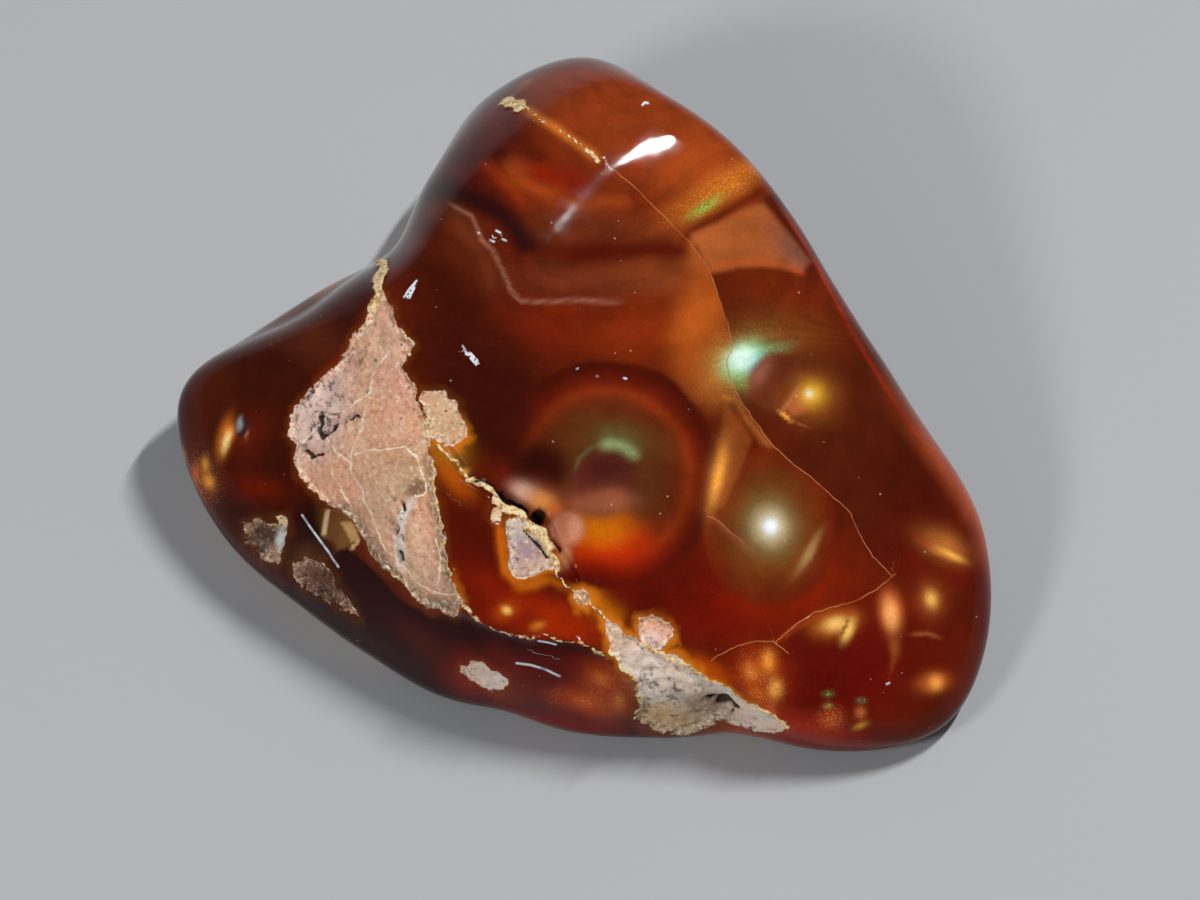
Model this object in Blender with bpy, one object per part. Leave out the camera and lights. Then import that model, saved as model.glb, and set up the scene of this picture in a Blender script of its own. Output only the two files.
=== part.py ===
"""A polished freeform of rough fire agate: one solid pebble with remains of its host rock.

The form is worked out as a reach from a point inside the stone, its heart, in every direction:
an outline, as it is seen from the front and above, is cut by ground facets whose edges are
rounded over, and the relief of the host rock, the fissure and the cavities is added to that.
Run it with: blender --background --python part.py
"""

import math

import bmesh
import bpy
import numpy as np
from mathutils import Vector, noise

MM = 0.001

# The stone is described as it is seen from the front, looking down at it by this angle.
VIEW_ELEVATION = math.radians(60)
RIGHT = np.array([1.0, 0.0, 0.0])
UPWARD = np.array([0.0, math.sin(VIEW_ELEVATION), math.cos(VIEW_ELEVATION)])
TO_VIEWER = np.array([0.0, -math.cos(VIEW_ELEVATION), math.sin(VIEW_ELEVATION)])

# Driving dimensions, in millimetres. The heart is the point that every reach is measured from.
HEART_HEIGHT = 5.6
FACET_SHARPNESS = 11.0
RIM_SHARPNESS = 11.0

# Reach of the seen outline, every 15 degrees anticlockwise from the right.
OUTLINE = np.array([
    14.6, 12.8, 12.2, 12.5, 13.3, 14.4, 16.0, 15.1, 12.6, 10.9, 12.3, 14.9,
    20.3, 18.4, 15.2, 14.4, 14.4, 13.0, 14.2, 14.6, 15.7, 23.5, 22.3, 18.5,
])  # fmt: skip

# Relief of the surface, in millimetres.
WAVE_HEIGHT = 0.22
WAVE_LENGTH = 7.0
ROCK_SINK = 0.14
ROCK_ROUGH = 0.34
ROCK_GRAIN = 0.9
ROCK_EDGE = 0.25
FISSURE_DEPTH = 0.34
FISSURE_HALF_WIDTH = 0.30
RIDGE_HEIGHT = 0.22
RIDGE_HALF_WIDTH = 0.35

# Triangles: the whole stone starts from an icosphere, and the rough places are divided again, once
# for each of these margins around them.
SPHERE_SUBDIVISIONS = 5
FINE_MARGINS = (0.55, 0.0)

# Host rock that the polishing has laid bare, as outlines seen from the front: (right, up) in mm.
ROCKS = {
    "big patch": [
        (-8.4, 6.0), (-7.5, 4.2), (-7.0, 2.1), (-6.3, -0.8), (-5.6, -4.4), (-4.8, -7.2), (-5.6, -7.5),
        (-7.3, -6.6), (-8.8, -4.7), (-10.6, -2.6), (-11.8, -0.8), (-12.0, 0.4), (-10.6, 2.2), (-9.5, 4.0),
    ],
    "knob beside it": [
        (-6.5, 1.4), (-5.8, 1.7), (-5.2, 1.25), (-4.6, 0.2), (-4.5, -0.4), (-5.0, -0.8), (-6.2, -0.2),
    ],
    "crystal crust": [
        (-3.0, -3.5), (-2.2, -3.7), (-1.1, -5.2), (-1.0, -5.7), (-2.2, -6.1), (-2.8, -5.9), (-2.9, -4.8),
    ],
    "front mass": [
        (1.0, -8.1), (1.8, -8.0), (2.5, -8.5), (3.5, -9.3), (4.8, -10.2), (6.3, -10.9), (8.8, -12.2),
        (7.9, -12.5), (6.1, -12.0), (4.2, -12.8), (2.6, -12.6), (2.3, -11.7), (2.5, -10.9), (1.6, -9.5),
    ],
    "pink knob": [(2.4, -8.1), (2.7, -7.7), (3.3, -7.6), (3.7, -8.0), (3.8, -8.6), (3.5, -9.1), (2.7, -9.0)],
    "left chip": [(-14.0, -4.0), (-12.4, -3.7), (-12.1, -4.2), (-12.7, -5.4), (-13.8, -4.6)],
    "lower chip": [(-11.9, -5.6), (-10.7, -5.4), (-10.2, -5.8), (-9.0, -8.2), (-10.5, -7.0), (-11.9, -6.2)],
}  # fmt: skip

# The open fissure that runs from the knob down to the front mass, and the crest below it.
FISSURE = [
    (-5.6, -0.7), (-4.8, -1.7), (-3.7, -2.5), (-2.7, -3.2), (-1.6, -4.1), (-0.8, -5.6), (0.0, -6.7),
    (1.7, -8.3),
]  # fmt: skip
CREST = [(-4.8, -7.2), (-3.4, -7.9), (-2.0, -8.4), (-0.6, -8.5), (0.9, -9.0), (2.2, -10.2)]

# Hollows seen from the front: right, up, radius and depth in mm.
HOLLOWS = [
    (-11.0, 4.1, 2.6, 0.55),
    (-9.9, 2.6, 0.6, 0.30),
    (-10.6, 0.1, 0.5, 0.28),
    (-1.6, -3.9, 0.45, 0.50),
    (5.9, -11.4, 0.9, 0.60),
    (-14.2, 0.0, 0.5, 0.25),
    (-9.4, -3.9, 0.8, 0.25),
]

# Host rock underneath and at the back: azimuth and elevation of its middle from the heart, and its
# half angle. It ends this many millimetres before it would show from the front.
UNDER_ROCK = (-150, -48, 46)
BACK_ROCK = (118, -22, 20)
FRONT_CLEARANCE = 4.0


def seen_facet(turn, lean, reach):
    """A facet seen from the front: its turn round the view axis, its lean to the viewer, its reach."""
    turn, lean = math.radians(turn), math.radians(lean)
    across = math.cos(turn) * RIGHT + math.sin(turn) * UPWARD
    return (*(math.cos(lean) * across + math.sin(lean) * TO_VIEWER), reach)


def direction(azimuth, elevation):
    azimuth, elevation = math.radians(azimuth), math.radians(elevation)
    level = math.cos(elevation)
    return np.array([level * math.cos(azimuth), level * math.sin(azimuth), math.sin(elevation)])


def hidden_facet(azimuth, elevation, reach):
    """A facet at the back or underneath, by its azimuth and elevation above the table."""
    return (*direction(azimuth, elevation), reach)


FACETS = np.array([
    seen_facet(45, 76, 5.9),  # the big polished face
    seen_facet(10, 60, 9.6),  # its fall to the right
    seen_facet(262, 38, 11.8),  # the front wall
    seen_facet(180, 54, 9.9),  # the slope with the big patch of rock
    seen_facet(225, 42, 11.2),  # the low left wall
    seen_facet(127, 28, 11.6),  # the top of the left lobe
    seen_facet(100, 42, 14.0),  # the far end
    hidden_facet(90, 0, 18.5),
    hidden_facet(10, -32, 16.0),
    hidden_facet(60, -34, 15.5),
    hidden_facet(110, -34, 15.5),
    hidden_facet(155, -40, 14.0),
    hidden_facet(195, -42, 14.8),
    hidden_facet(-130, -44, 12.8),
    hidden_facet(-90, -42, 13.6),
    hidden_facet(-40, -36, 20.0),
    hidden_facet(0, -90, 6.4),
])  # fmt: skip


def outline_reach(turn):
    """The outline's reach at each angle, on a smooth closed curve through its points."""
    count = len(OUTLINE)
    place = (turn % math.tau) / math.tau * count
    before = np.floor(place).astype(int)
    share = place - before
    p0, p1, p2, p3 = (OUTLINE[(before + step) % count] for step in (-1, 0, 1, 2))
    straight = 2 * p1 + (p2 - p0) * share
    square = (2 * p0 - 5 * p1 + 4 * p2 - p3) * share**2
    cube = (3 * p1 - p0 - 3 * p2 + p3) * share**3
    return 0.5 * (straight + square + cube)


def body_reach(ways):
    """Reach of the plain polished form along unit vectors: the outline and the facets, with rounded edges."""
    across, up = ways @ RIGHT, ways @ UPWARD
    rim = np.hypot(across, up) / outline_reach(np.arctan2(up, across))
    towards = np.maximum(ways @ FACETS[:, :3].T / FACETS[:, 3], 0)
    facets = (towards**FACET_SHARPNESS).sum(1) ** (1 / FACET_SHARPNESS)
    return (facets**RIM_SHARPNESS + rim**RIM_SHARPNESS) ** (-1 / RIM_SHARPNESS)


def line_distance(points, line, closed=False):
    """Distance of 2-D points from a line of straight stretches."""
    ends = list(zip(line, line[1:] + line[:1] if closed else line[1:]))
    least = np.full(len(points), np.inf)
    for start, end in ends:
        start, along = np.array(start), np.array(end) - np.array(start)
        share = np.clip((points - start) @ along / (along @ along), 0, 1)
        least = np.minimum(least, np.linalg.norm(points - start - share[:, None] * along, axis=1))
    return least


def depth_inside(points, outline):
    """How far 2-D points lie inside a closed outline; negative outside it."""
    inside = np.zeros(len(points), bool)
    for (x0, y0), (x1, y1) in zip(outline, outline[1:] + outline[:1]):
        if y0 == y1:
            continue
        spans = (points[:, 1] > y0) != (points[:, 1] > y1)
        crossing = x0 + (points[:, 1] - y0) / (y1 - y0) * (x1 - x0)
        inside ^= spans & (points[:, 0] < crossing)
    distance = line_distance(points, outline, closed=True)
    return np.where(inside, distance, -distance)


def smooth_step(value):
    value = np.clip(value, 0, 1)
    return value * value * (3 - 2 * value)


def noise_at(points, length, shift=0.0):
    """Smooth noise from -1 to 1 whose features are about length wide."""
    return np.array([noise.noise(Vector(p / length + shift)) for p in points])


def rock_depth(ways, points):
    """How far inside bare host rock each surface point lies, in mm, whichever rock it is."""
    picture = np.stack([points @ RIGHT, points @ UPWARD], 1)
    front = ways @ TO_VIEWER > 0
    depth = np.full(len(points), -9.0)
    for outline in ROCKS.values():
        depth = np.where(front, np.maximum(depth, depth_inside(picture, outline)), depth)
    reach = np.linalg.norm(points, axis=1)
    for azimuth, elevation, half_angle in (UNDER_ROCK, BACK_ROCK):
        angle = np.arccos(np.clip(ways @ direction(azimuth, elevation), -1, 1))
        ragged = 0.8 * noise_at(points, 3.0, shift=7.0)
        hidden = (math.radians(half_angle) - angle) * reach + ragged - FRONT_CLEARANCE * front
        depth = np.maximum(depth, hidden)
    return depth


def relief(ways, points):
    """Height of the surface over the plain form, in mm."""
    picture = np.stack([points @ RIGHT, points @ UPWARD], 1)
    front = smooth_step((ways @ TO_VIEWER) / 0.15)
    height = WAVE_HEIGHT * noise_at(points, WAVE_LENGTH)
    rock = smooth_step(rock_depth(ways, points) / ROCK_EDGE)
    rough = noise_at(points, ROCK_GRAIN, shift=3.0) + 0.5 * noise_at(points, ROCK_GRAIN / 2.2, shift=5.0)
    height += rock * (ROCK_ROUGH * rough - ROCK_SINK)
    fissure = line_distance(picture, FISSURE) / FISSURE_HALF_WIDTH
    height -= front * FISSURE_DEPTH * np.exp(-(fissure**2))
    crest = line_distance(picture, CREST) / RIDGE_HALF_WIDTH
    height += front * RIDGE_HEIGHT * np.exp(-(crest**2))
    for across, up, radius, depth in HOLLOWS:
        away = np.linalg.norm(picture - (across, up), axis=1) / radius
        height -= front * depth * np.exp(-(away**2))
    return height


def rough_places(ways, points, margin):
    """True where the surface needs smaller triangles."""
    picture = np.stack([points @ RIGHT, points @ UPWARD], 1)
    front = ways @ TO_VIEWER > 0
    rock = np.full(len(points), -9.0)
    for outline in ROCKS.values():
        rock = np.maximum(rock, depth_inside(picture, outline))
    near_line = np.minimum(line_distance(picture, FISSURE), line_distance(picture, CREST)) < margin + 0.3
    return front & ((rock > -margin) | near_line)


def ways_of(bm):
    ways = np.array([v.co for v in bm.verts], float)
    return ways / np.linalg.norm(ways, axis=1)[:, None]


def divide_rough_places(bm, margin):
    ways = ways_of(bm)
    rough = rough_places(ways, ways * body_reach(ways)[:, None], margin)
    bm.verts.index_update()
    edges = [e for e in bm.edges if rough[e.verts[0].index] and rough[e.verts[1].index]]
    bmesh.ops.subdivide_edges(bm, edges=edges, cuts=1, use_grid_fill=True)
    bmesh.ops.triangulate(bm, faces=[f for f in bm.faces if len(f.verts) > 3])


def cut_base(bm, height):
    """Cuts the stone off flat at a height and closes the cut with one face."""
    geometry = bm.verts[:] + bm.edges[:] + bm.faces[:]
    bmesh.ops.bisect_plane(
        bm, geom=geometry, dist=1e-6, plane_co=(0, 0, height), plane_no=(0, 0, -1), clear_outer=True
    )
    bmesh.ops.holes_fill(bm, edges=[e for e in bm.edges if e.is_boundary], sides=0)


def centre_on_base(bm):
    """Moves the stone so that the middle of its box, at the base, is the origin."""
    points = np.array([v.co for v in bm.verts])
    low, high = points.min(0), points.max(0)
    shift = Vector((-(low[0] + high[0]) / 2, -(low[1] + high[1]) / 2, -low[2]))
    bmesh.ops.translate(bm, vec=shift, verts=bm.verts)


def stone_mesh():
    bm = bmesh.new()
    bmesh.ops.create_icosphere(bm, subdivisions=SPHERE_SUBDIVISIONS, radius=1)
    for margin in FINE_MARGINS:
        divide_rough_places(bm, margin)
    ways = ways_of(bm)
    plain = ways * body_reach(ways)[:, None]
    surface = plain + ways * relief(ways, plain)[:, None]
    for vertex, place in zip(bm.verts, surface):
        vertex.co = Vector(place) * MM
    cut_base(bm, -HEART_HEIGHT * MM)
    centre_on_base(bm)
    bmesh.ops.recalc_face_normals(bm, faces=bm.faces)
    mesh = bpy.data.meshes.new("fire_agate")
    bm.to_mesh(mesh)
    bm.free()
    mesh.shade_smooth()
    mesh.set_sharp_from_angle(angle=math.radians(40))
    return mesh


def agate_material():
    material = bpy.data.materials.new("fire_agate")
    material.use_nodes = True
    shader = material.node_tree.nodes["Principled BSDF"]
    shader.inputs["Base Color"].default_value = (0.16, 0.03, 0.012, 1)
    shader.inputs["Roughness"].default_value = 0.12
    shader.inputs["Metallic"].default_value = 0.0
    return material


def main():
    for old in list(bpy.data.objects):
        bpy.data.objects.remove(old)
    stone = bpy.data.objects.new("fire_agate", stone_mesh())
    stone.data.materials.append(agate_material())
    bpy.context.scene.collection.objects.link(stone)


main()
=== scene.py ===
"""The looks of a polished freeform of rough fire agate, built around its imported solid.

The stone is one closed mesh whose form is that of the solid, only finer. What shows in the polished
agate, its fire and the host rock on it are laid out as they are seen from the front and above, in
millimetres right of and up from the stone's heart, the point inside it that its form is measured from.
"""

import math

import bmesh
import bpy
import numpy as np
from mathutils import Matrix, Vector, noise

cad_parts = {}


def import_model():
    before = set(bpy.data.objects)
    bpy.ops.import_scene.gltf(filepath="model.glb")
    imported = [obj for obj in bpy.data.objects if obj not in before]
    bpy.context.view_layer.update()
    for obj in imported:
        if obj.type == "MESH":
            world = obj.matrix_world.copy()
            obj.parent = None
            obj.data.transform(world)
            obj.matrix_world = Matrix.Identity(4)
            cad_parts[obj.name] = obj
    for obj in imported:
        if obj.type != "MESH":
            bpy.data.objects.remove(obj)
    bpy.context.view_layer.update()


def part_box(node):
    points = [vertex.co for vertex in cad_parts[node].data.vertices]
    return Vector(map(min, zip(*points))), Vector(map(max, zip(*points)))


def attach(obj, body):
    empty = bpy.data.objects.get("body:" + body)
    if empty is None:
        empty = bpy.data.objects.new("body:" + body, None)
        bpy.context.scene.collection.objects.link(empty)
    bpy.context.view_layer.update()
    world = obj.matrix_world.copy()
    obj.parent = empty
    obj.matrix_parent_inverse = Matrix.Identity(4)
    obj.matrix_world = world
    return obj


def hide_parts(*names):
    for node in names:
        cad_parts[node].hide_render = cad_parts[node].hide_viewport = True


MM = 0.001
NODE = "fire_agate"

# The view that the stone is laid out in.
VIEW_ELEVATION = math.radians(60)
RIGHT = np.array([1.0, 0.0, 0.0])
UPWARD = np.array([0.0, math.sin(VIEW_ELEVATION), math.cos(VIEW_ELEVATION)])
TO_VIEWER = np.array([0.0, -math.cos(VIEW_ELEVATION), math.sin(VIEW_ELEVATION)])

# The form, in millimetres: as in the solid, with a finer relief. The fissure is deepest this share of its
# half width left of its line.
HEART_HEIGHT = 5.6
FACET_SHARPNESS = 11.0
RIM_SHARPNESS = 11.0
OUTLINE = np.array([
    14.6, 12.8, 12.2, 12.5, 13.3, 14.4, 16.0, 15.1, 12.6, 10.9, 12.3, 14.9,
    20.3, 18.4, 15.2, 14.4, 14.4, 13.0, 14.2, 14.6, 15.7, 23.5, 22.3, 18.5,
])  # fmt: skip
WAVE_HEIGHT = 0.22
WAVE_LENGTH = 7.0
ROCK_SINK = 0.14
ROCK_ROUGH = 0.2
ROCK_EDGE = 0.12
FISSURE_DEPTH = 0.3
FISSURE_HALF_WIDTH = 0.16
FISSURE_SIDE = 0.8
RIDGE_HEIGHT = 0.2
RIDGE_HALF_WIDTH = 0.3
VEIN_LIFT = 0.07
VEIN_EDGE = 0.08
VEIN_GRAIN = 0.4
GAP_DEPTH = 0.25
GAP_EDGE = 0.1

# The share by which the host rock's lumps are lower where it has been ground flat.
GROUND_SHARE = 0.8

# What is laid out from the front ends where the way out from the heart leans away from the viewer by this
# much, as a sine, and fades over this much before that.
FRONT_LEAN = 0.22
FRONT_BLEND = 0.18

# Depths inside an outline, and distances outside it, are cut off at this many millimetres.
DEEP = 2.0

# A distance in millimetres that is longer than any on the stone.
FAR = 99.0

# Noises, each of a size, a length in millimetres and a seed: for the lumps of the bare rock, the outlines of
# the hidden rock, the agate's hidden layers and its fine bands.
ROCK_NOISES = [(1.0, 0.9, 3.0), (0.6, 0.9 / 2.2, 5.0)]
HIDDEN_ROCK_NOISES = [(0.8, 3.0, 7.0), (0.3, 0.8, 9.0)]
LAYER_NOISES = [(2.24, 6.0, 21.0), (0.8, 2.2, 23.0)]
BAND_NOISES = [(1.1, 3.2, 41.0), (0.2, 1.3, 43.0)]

# How unevenly the outlines of the host rock and of the agate's colours run: the length and the size of each
# shake in millimetres, and its two seeds.
RAGGED = [(0.9, 0.18, (51.0, 53.0)), (0.35, 0.12, (57.0, 59.0))]
WANDER = [(1.7, 0.16, (31.0, 37.0))]

# Strokes of colour go on for this many millimetres past their ends, and fade over this many.
STROKE_OVERSHOOT = 0.1
STROKE_END_FADE = 0.7

# Edges of the fine mesh are no longer than this, in millimetres: on the side that is seen from the
# front, in its rough places and this margin round them, and everywhere else. The fissure and the crest
# are rough for this half width, and a point is seen from the front from this share on.
FINE_EDGE = 0.205
ROUGH_EDGE = 0.135
ROUGH_MARGIN = 0.3
COARSE_EDGE = 0.6
ROUGH_HALF_WIDTH = 0.2
SEEN_SHARE = 0.3
SPHERE_SUBDIVISIONS = 6
REFINING_PASSES = 6

# Bare host rock, as outlines seen from the front: (right, up) in millimetres.
ROCKS = {
    "big patch": [
        (-8.4, 6.0), (-7.8, 5.2), (-7.5, 4.3), (-6.9, 3.5), (-7.2, 2.7), (-6.7, 1.5), (-6.1, -0.4),
        (-5.8, -2.9), (-5.4, -5.2), (-4.8, -7.0), (-5.0, -7.5), (-5.8, -7.45), (-6.6, -7.1), (-7.5, -6.1),
        (-8.7, -5.0), (-9.4, -3.8), (-10.7, -2.9), (-11.6, -1.9), (-11.8, -0.8), (-12.1, -0.2),
        (-11.9, 0.8), (-11.2, 1.7), (-10.2, 2.9), (-9.4, 4.1), (-8.9, 4.8),
    ],
    "knob beside it": [
        (-6.5, 1.4), (-6.1, 1.6), (-5.6, 1.55), (-5.0, 1.0), (-4.7, 0.3), (-4.5, -0.3), (-5.0, -0.8),
        (-6.2, -0.2),
    ],
    "crystal crust": [
        (-3.0, -3.6), (-2.2, -3.6), (-1.6, -4.3), (-1.0, -5.2), (-0.9, -5.75), (-1.5, -5.85), (-2.15, -6.1),
        (-2.55, -6.15), (-2.8, -5.75), (-2.95, -4.8),
    ],
    "front mass": [
        (1.1, -7.6), (1.5, -7.9), (2.1, -8.5), (2.5, -8.7), (3.4, -9.2), (3.9, -9.1), (4.3, -9.5),
        (5.3, -10.3), (6.7, -11.0), (8.7, -12.15), (7.9, -12.5), (6.7, -12.3), (5.6, -12.1), (4.4, -12.7),
        (3.3, -12.5), (2.4, -12.2), (2.3, -11.9), (2.5, -11.2), (2.2, -10.4), (1.6, -9.5), (1.3, -9.0),
        (1.2, -8.4), (0.95, -8.0),
    ],
    "pink knob": [
        (2.4, -8.2), (2.5, -7.75), (2.9, -7.55), (3.4, -7.65),
        (3.7, -8.1), (3.7, -8.6), (3.4, -9.0), (2.7, -9.0),
    ],
    "ring crumb": [
        (-0.15, -6.6), (0.15, -6.45), (0.45, -6.6), (0.55, -6.95),
        (0.3, -7.25), (-0.05, -7.2), (-0.22, -6.9),
    ],
    "gold bead": [
        (-3.65, -3.2), (-3.3, -3.05), (-3.05, -3.3), (-3.15, -3.65), (-3.45, -3.75), (-3.7, -3.5),
    ],
    "wall chip": [
        (-4.9, -9.75), (-4.5, -9.55), (-3.9, -9.6), (-3.3, -9.85),
        (-3.0, -10.2), (-3.2, -10.75), (-4.0, -10.5), (-4.6, -10.25),
    ],
    "left chip": [
        (-14.0, -3.9), (-13.2, -3.7), (-12.4, -3.9), (-12.2, -4.7),
        (-12.5, -5.6), (-13.2, -5.2), (-13.8, -4.6),
    ],
    "left bead": [
        (-12.6, -3.5), (-12.2, -3.6), (-12.1, -4.3), (-12.4, -4.8), (-12.65, -4.2),
    ],
    "lower chip": [
        (-11.9, -5.5), (-11.2, -5.3), (-10.6, -5.5), (-10.2, -6.0), (-9.6, -6.8), (-9.1, -7.9), (-9.6, -7.6),
        (-10.4, -7.0), (-11.4, -6.5), (-11.8, -6.0),
    ],
}  # fmt: skip

# Where the host rock is ground nearly flat: middle, half sizes and turn.
GROUND_ROCK = [((-8.4, -1.4), (2.6, 4.6), 12), ((-5.9, -5.6), (1.2, 2.2), 12), ((-2.0, -4.9), (1.2, 1.4), 0)]

# Where the host rock is pitted and specked with black: middle, half sizes, turn and strength.
PITTED_ROCK = [
    ((-10.9, 0.9), (1.3, 1.9), -20, 1.0),
    ((-9.4, 3.4), (0.8, 1.6), 20, 0.7),
    ((-7.3, -3.8), (0.4, 1.3), 10, 0.8),
    ((-13.5, -4.6), (0.8, 1.1), 0, 1.0),
    ((-10.6, -6.5), (1.5, 0.9), -30, 1.0),
    ((3.6, -11.2), (2.0, 1.6), 0, 0.8),
]

# The fissure from the knob down to the front mass, and the crest below it.
FISSURE = [
    (-5.6, -0.7), (-4.8, -1.9), (-3.8, -2.5), (-2.9, -2.9), (-1.9, -3.5), (-1.3, -4.0), (-0.9, -5.0),
    (-0.2, -6.2),
]  # fmt: skip
CREST = [(-4.8, -7.2), (-3.4, -7.9), (-2.0, -8.4), (-0.6, -8.5), (0.9, -9.0), (2.2, -10.2)]

# Hollows seen from the front: right, up, radius and depth in millimetres.
HOLLOWS = [
    (-11.0, 4.1, 2.6, 0.55),
    (-9.9, 2.6, 0.6, 0.2),
    (-10.6, 0.1, 0.4, 0.22),
    (-1.6, -3.6, 0.22, 0.45),
    (5.9, -11.5, 0.7, 0.5),
    (-14.2, 0.0, 0.35, 0.22),
    (-9.4, -3.9, 0.8, 0.25),
]

# Host rock at the back and underneath: azimuth and elevation of its middle, and its half angle. It ends
# this many millimetres before it would show from the front.
UNDER_ROCK = (-150, -48, 46)
BACK_ROCK = (118, -22, 20)
FRONT_CLEARANCE = 4.0

# Cream veins of crust: half width in millimetres, and points seen from the front.
VEINS = [
    (0.08, [(-5.7, -0.6), (-5.0, -1.42), (-4.5, -1.95)]),
    (0.14, [(-4.5, -2.0), (-3.8, -2.35), (-3.4, -2.75)]),
    (0.2, [(-3.4, -2.85), (-2.85, -3.2), (-2.35, -3.55)]),
    (0.27, [(-1.95, -3.9), (-1.6, -4.15), (-1.3, -4.65)]),
    (0.12, [(-1.25, -4.8), (-0.9, -5.35), (-0.85, -5.95)]),
    (0.06, [(-0.85, -5.95), (-0.25, -6.5), (0.15, -6.85)]),
    (0.05, [(0.4, -7.0), (0.8, -7.4), (1.3, -7.95)]),
    (0.1, [(2.6, -8.75), (3.5, -9.3), (4.4, -9.65), (5.3, -10.35), (6.7, -11.05), (8.6, -12.1)]),
    (0.07, [(1.15, -8.3), (1.3, -9.0), (1.65, -9.5), (2.2, -10.4), (2.5, -11.2), (2.3, -11.9)]),
    (0.05, [
        (-4.8, -7.1), (-4.0, -7.6), (-3.3, -8.05), (-2.5, -8.3), (-1.1, -8.45), (-0.1, -8.6), (1.2, -9.25),
    ]),
    (0.2, [(-8.15, 6.9), (-8.4, 6.2), (-8.45, 5.6), (-8.7, 5.0)]),
    (0.06, [(-7.2, 3.9), (-6.95, 3.5), (-7.0, 3.1)]),
    (0.26, [(-3.3, 13.75), (-2.95, 13.7), (-2.5, 13.5)]),
    (0.05, [(-2.5, 13.5), (-1.9, 13.1), (-1.1, 12.55), (-0.4, 12.05)]),
    (0.09, [(-0.4, 12.05), (0.25, 11.65), (0.95, 11.1)]),
    (0.06, [(-6.7, 1.5), (-6.15, -0.4), (-5.85, -2.9), (-5.45, -5.2), (-4.9, -6.9)]),
]

# Hairline cracks in the agate.
LONG_CRACK = [
    (1.0, 11.1), (2.2, 10.1), (3.3, 9.0), (4.6, 7.7), (5.4, 6.5), (5.75, 5.4), (6.1, 4.4), (6.3, 3.5),
    (6.05, 2.75), (6.2, 2.1), (6.65, 1.15), (7.25, 0.35), (7.9, -0.55), (8.8, -1.35), (10.0, -2.3),
    (11.2, -3.4), (11.5, -4.2), (12.1, -5.2), (12.9, -6.0),
]  # fmt: skip
CRACKS = [
    LONG_CRACK,
    [(13.1, -5.9), (12.2, -6.6), (11.2, -7.1), (9.6, -7.5), (8.6, -8.2), (8.0, -8.7)],
    [(5.3, -9.5), (6.1, -9.0), (7.0, -8.7), (7.9, -8.7), (8.6, -9.2)],
    [(5.2, -3.5), (5.7, -3.7), (6.1, -4.1), (6.8, -4.7)],
]

# Open dark gaps: half width in millimetres, and points.
GAPS = [
    (0.05, [(-4.2, -2.12), (-3.6, -2.28), (-3.2, -2.55)]),
    (0.1, [(-3.2, -2.55), (-2.55, -2.97), (-1.95, -3.5)]),
    (0.19, [(-1.75, -3.5), (-1.5, -3.6)]),
    (0.06, [(-2.15, -4.05), (-1.7, -4.65), (-1.1, -5.2)]),
    (0.04, [(-1.2, -4.2), (-1.0, -4.6), (-0.8, -4.9)]),
    (0.1, [(-10.77, 0.46), (-10.85, 0.0), (-10.7, -0.33)]),
    (0.05, [(-10.7, -0.33), (-10.3, -0.08), (-10.1, 0.25)]),
    (0.035, [(-10.6, 0.54), (-10.25, 0.67), (-10.04, 0.5)]),
    (0.04, [(-9.83, 0.13), (-9.5, 0.38), (-9.17, 0.63)]),
    (0.05, [(-11.5, -0.92), (-11.2, -1.17), (-10.9, -0.92)]),
    (0.09, [(-7.3, -2.95), (-7.2, -3.15)]),
    (0.06, [(-7.55, -4.1), (-7.5, -4.4)]),
    (0.06, [(-7.35, -5.0), (-7.25, -5.3)]),
    (0.12, [(5.2, -11.35), (5.8, -11.6), (6.4, -11.75)]),
]

# Where the agate holds amber light against the host rock: middle, half sizes, turn and strength.
AMBER = [
    ((-5.0, -0.6), (1.5, 0.9), -40, 0.8),
    ((-1.6, -5.0), (1.8, 1.8), -20, 0.7),
    ((1.2, -8.0), (2.4, 1.2), -35, 0.95),
    ((4.6, -9.6), (3.0, 0.9), -35, 0.9),
    ((1.6, -10.2), (0.9, 1.6), -20, 0.7),
    ((-5.0, -6.6), (0.6, 0.8), 0, 0.5),
]
LEAST_AMBER = 0.08

# Fine silvery nicks in the polish, some of them painted highlights: pale lines where the lamps are reflected
# on small edges.
NICKS_AND_HIGHLIGHTS = [
    [(-11.5, -3.45), (-11.0, -4.15), (-10.4, -4.95), (-9.9, -5.7)],
    [(-4.85, 3.5), (-4.5, 2.95), (-4.25, 2.65), (-4.1, 2.75)],
    [(-4.75, 3.1), (-4.5, 3.15), (-4.15, 2.75)],
    [(-7.3, 5.45), (-7.05, 5.85), (-6.7, 6.25)],
    [(-7.05, 5.4), (-6.95, 5.65), (-6.8, 5.95)],
    [(-2.65, -9.5), (-2.0, -9.6), (-1.4, -9.8), (-0.75, -10.15)],
    [(-1.75, -8.55), (-1.3, -8.65), (-0.9, -8.8)],
    [(-4.25, 8.15), (-4.05, 8.1)],
    [(-3.5, 8.25), (-3.2, 8.08)],
    [(-3.75, 7.85), (-3.45, 7.72)],
    [(-3.25, 7.88), (-2.95, 7.75)],
    [(2.55, 13.4), (2.7, 13.6), (2.9, 13.5)],
    [(12.6, -10.5), (12.85, -10.4)],
    [(-0.2, 2.5), (0.0, 2.52)],
    [(0.65, 2.25), (0.85, 2.15)],
    [(1.75, 2.15), (2.0, 2.1)],
]

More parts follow.
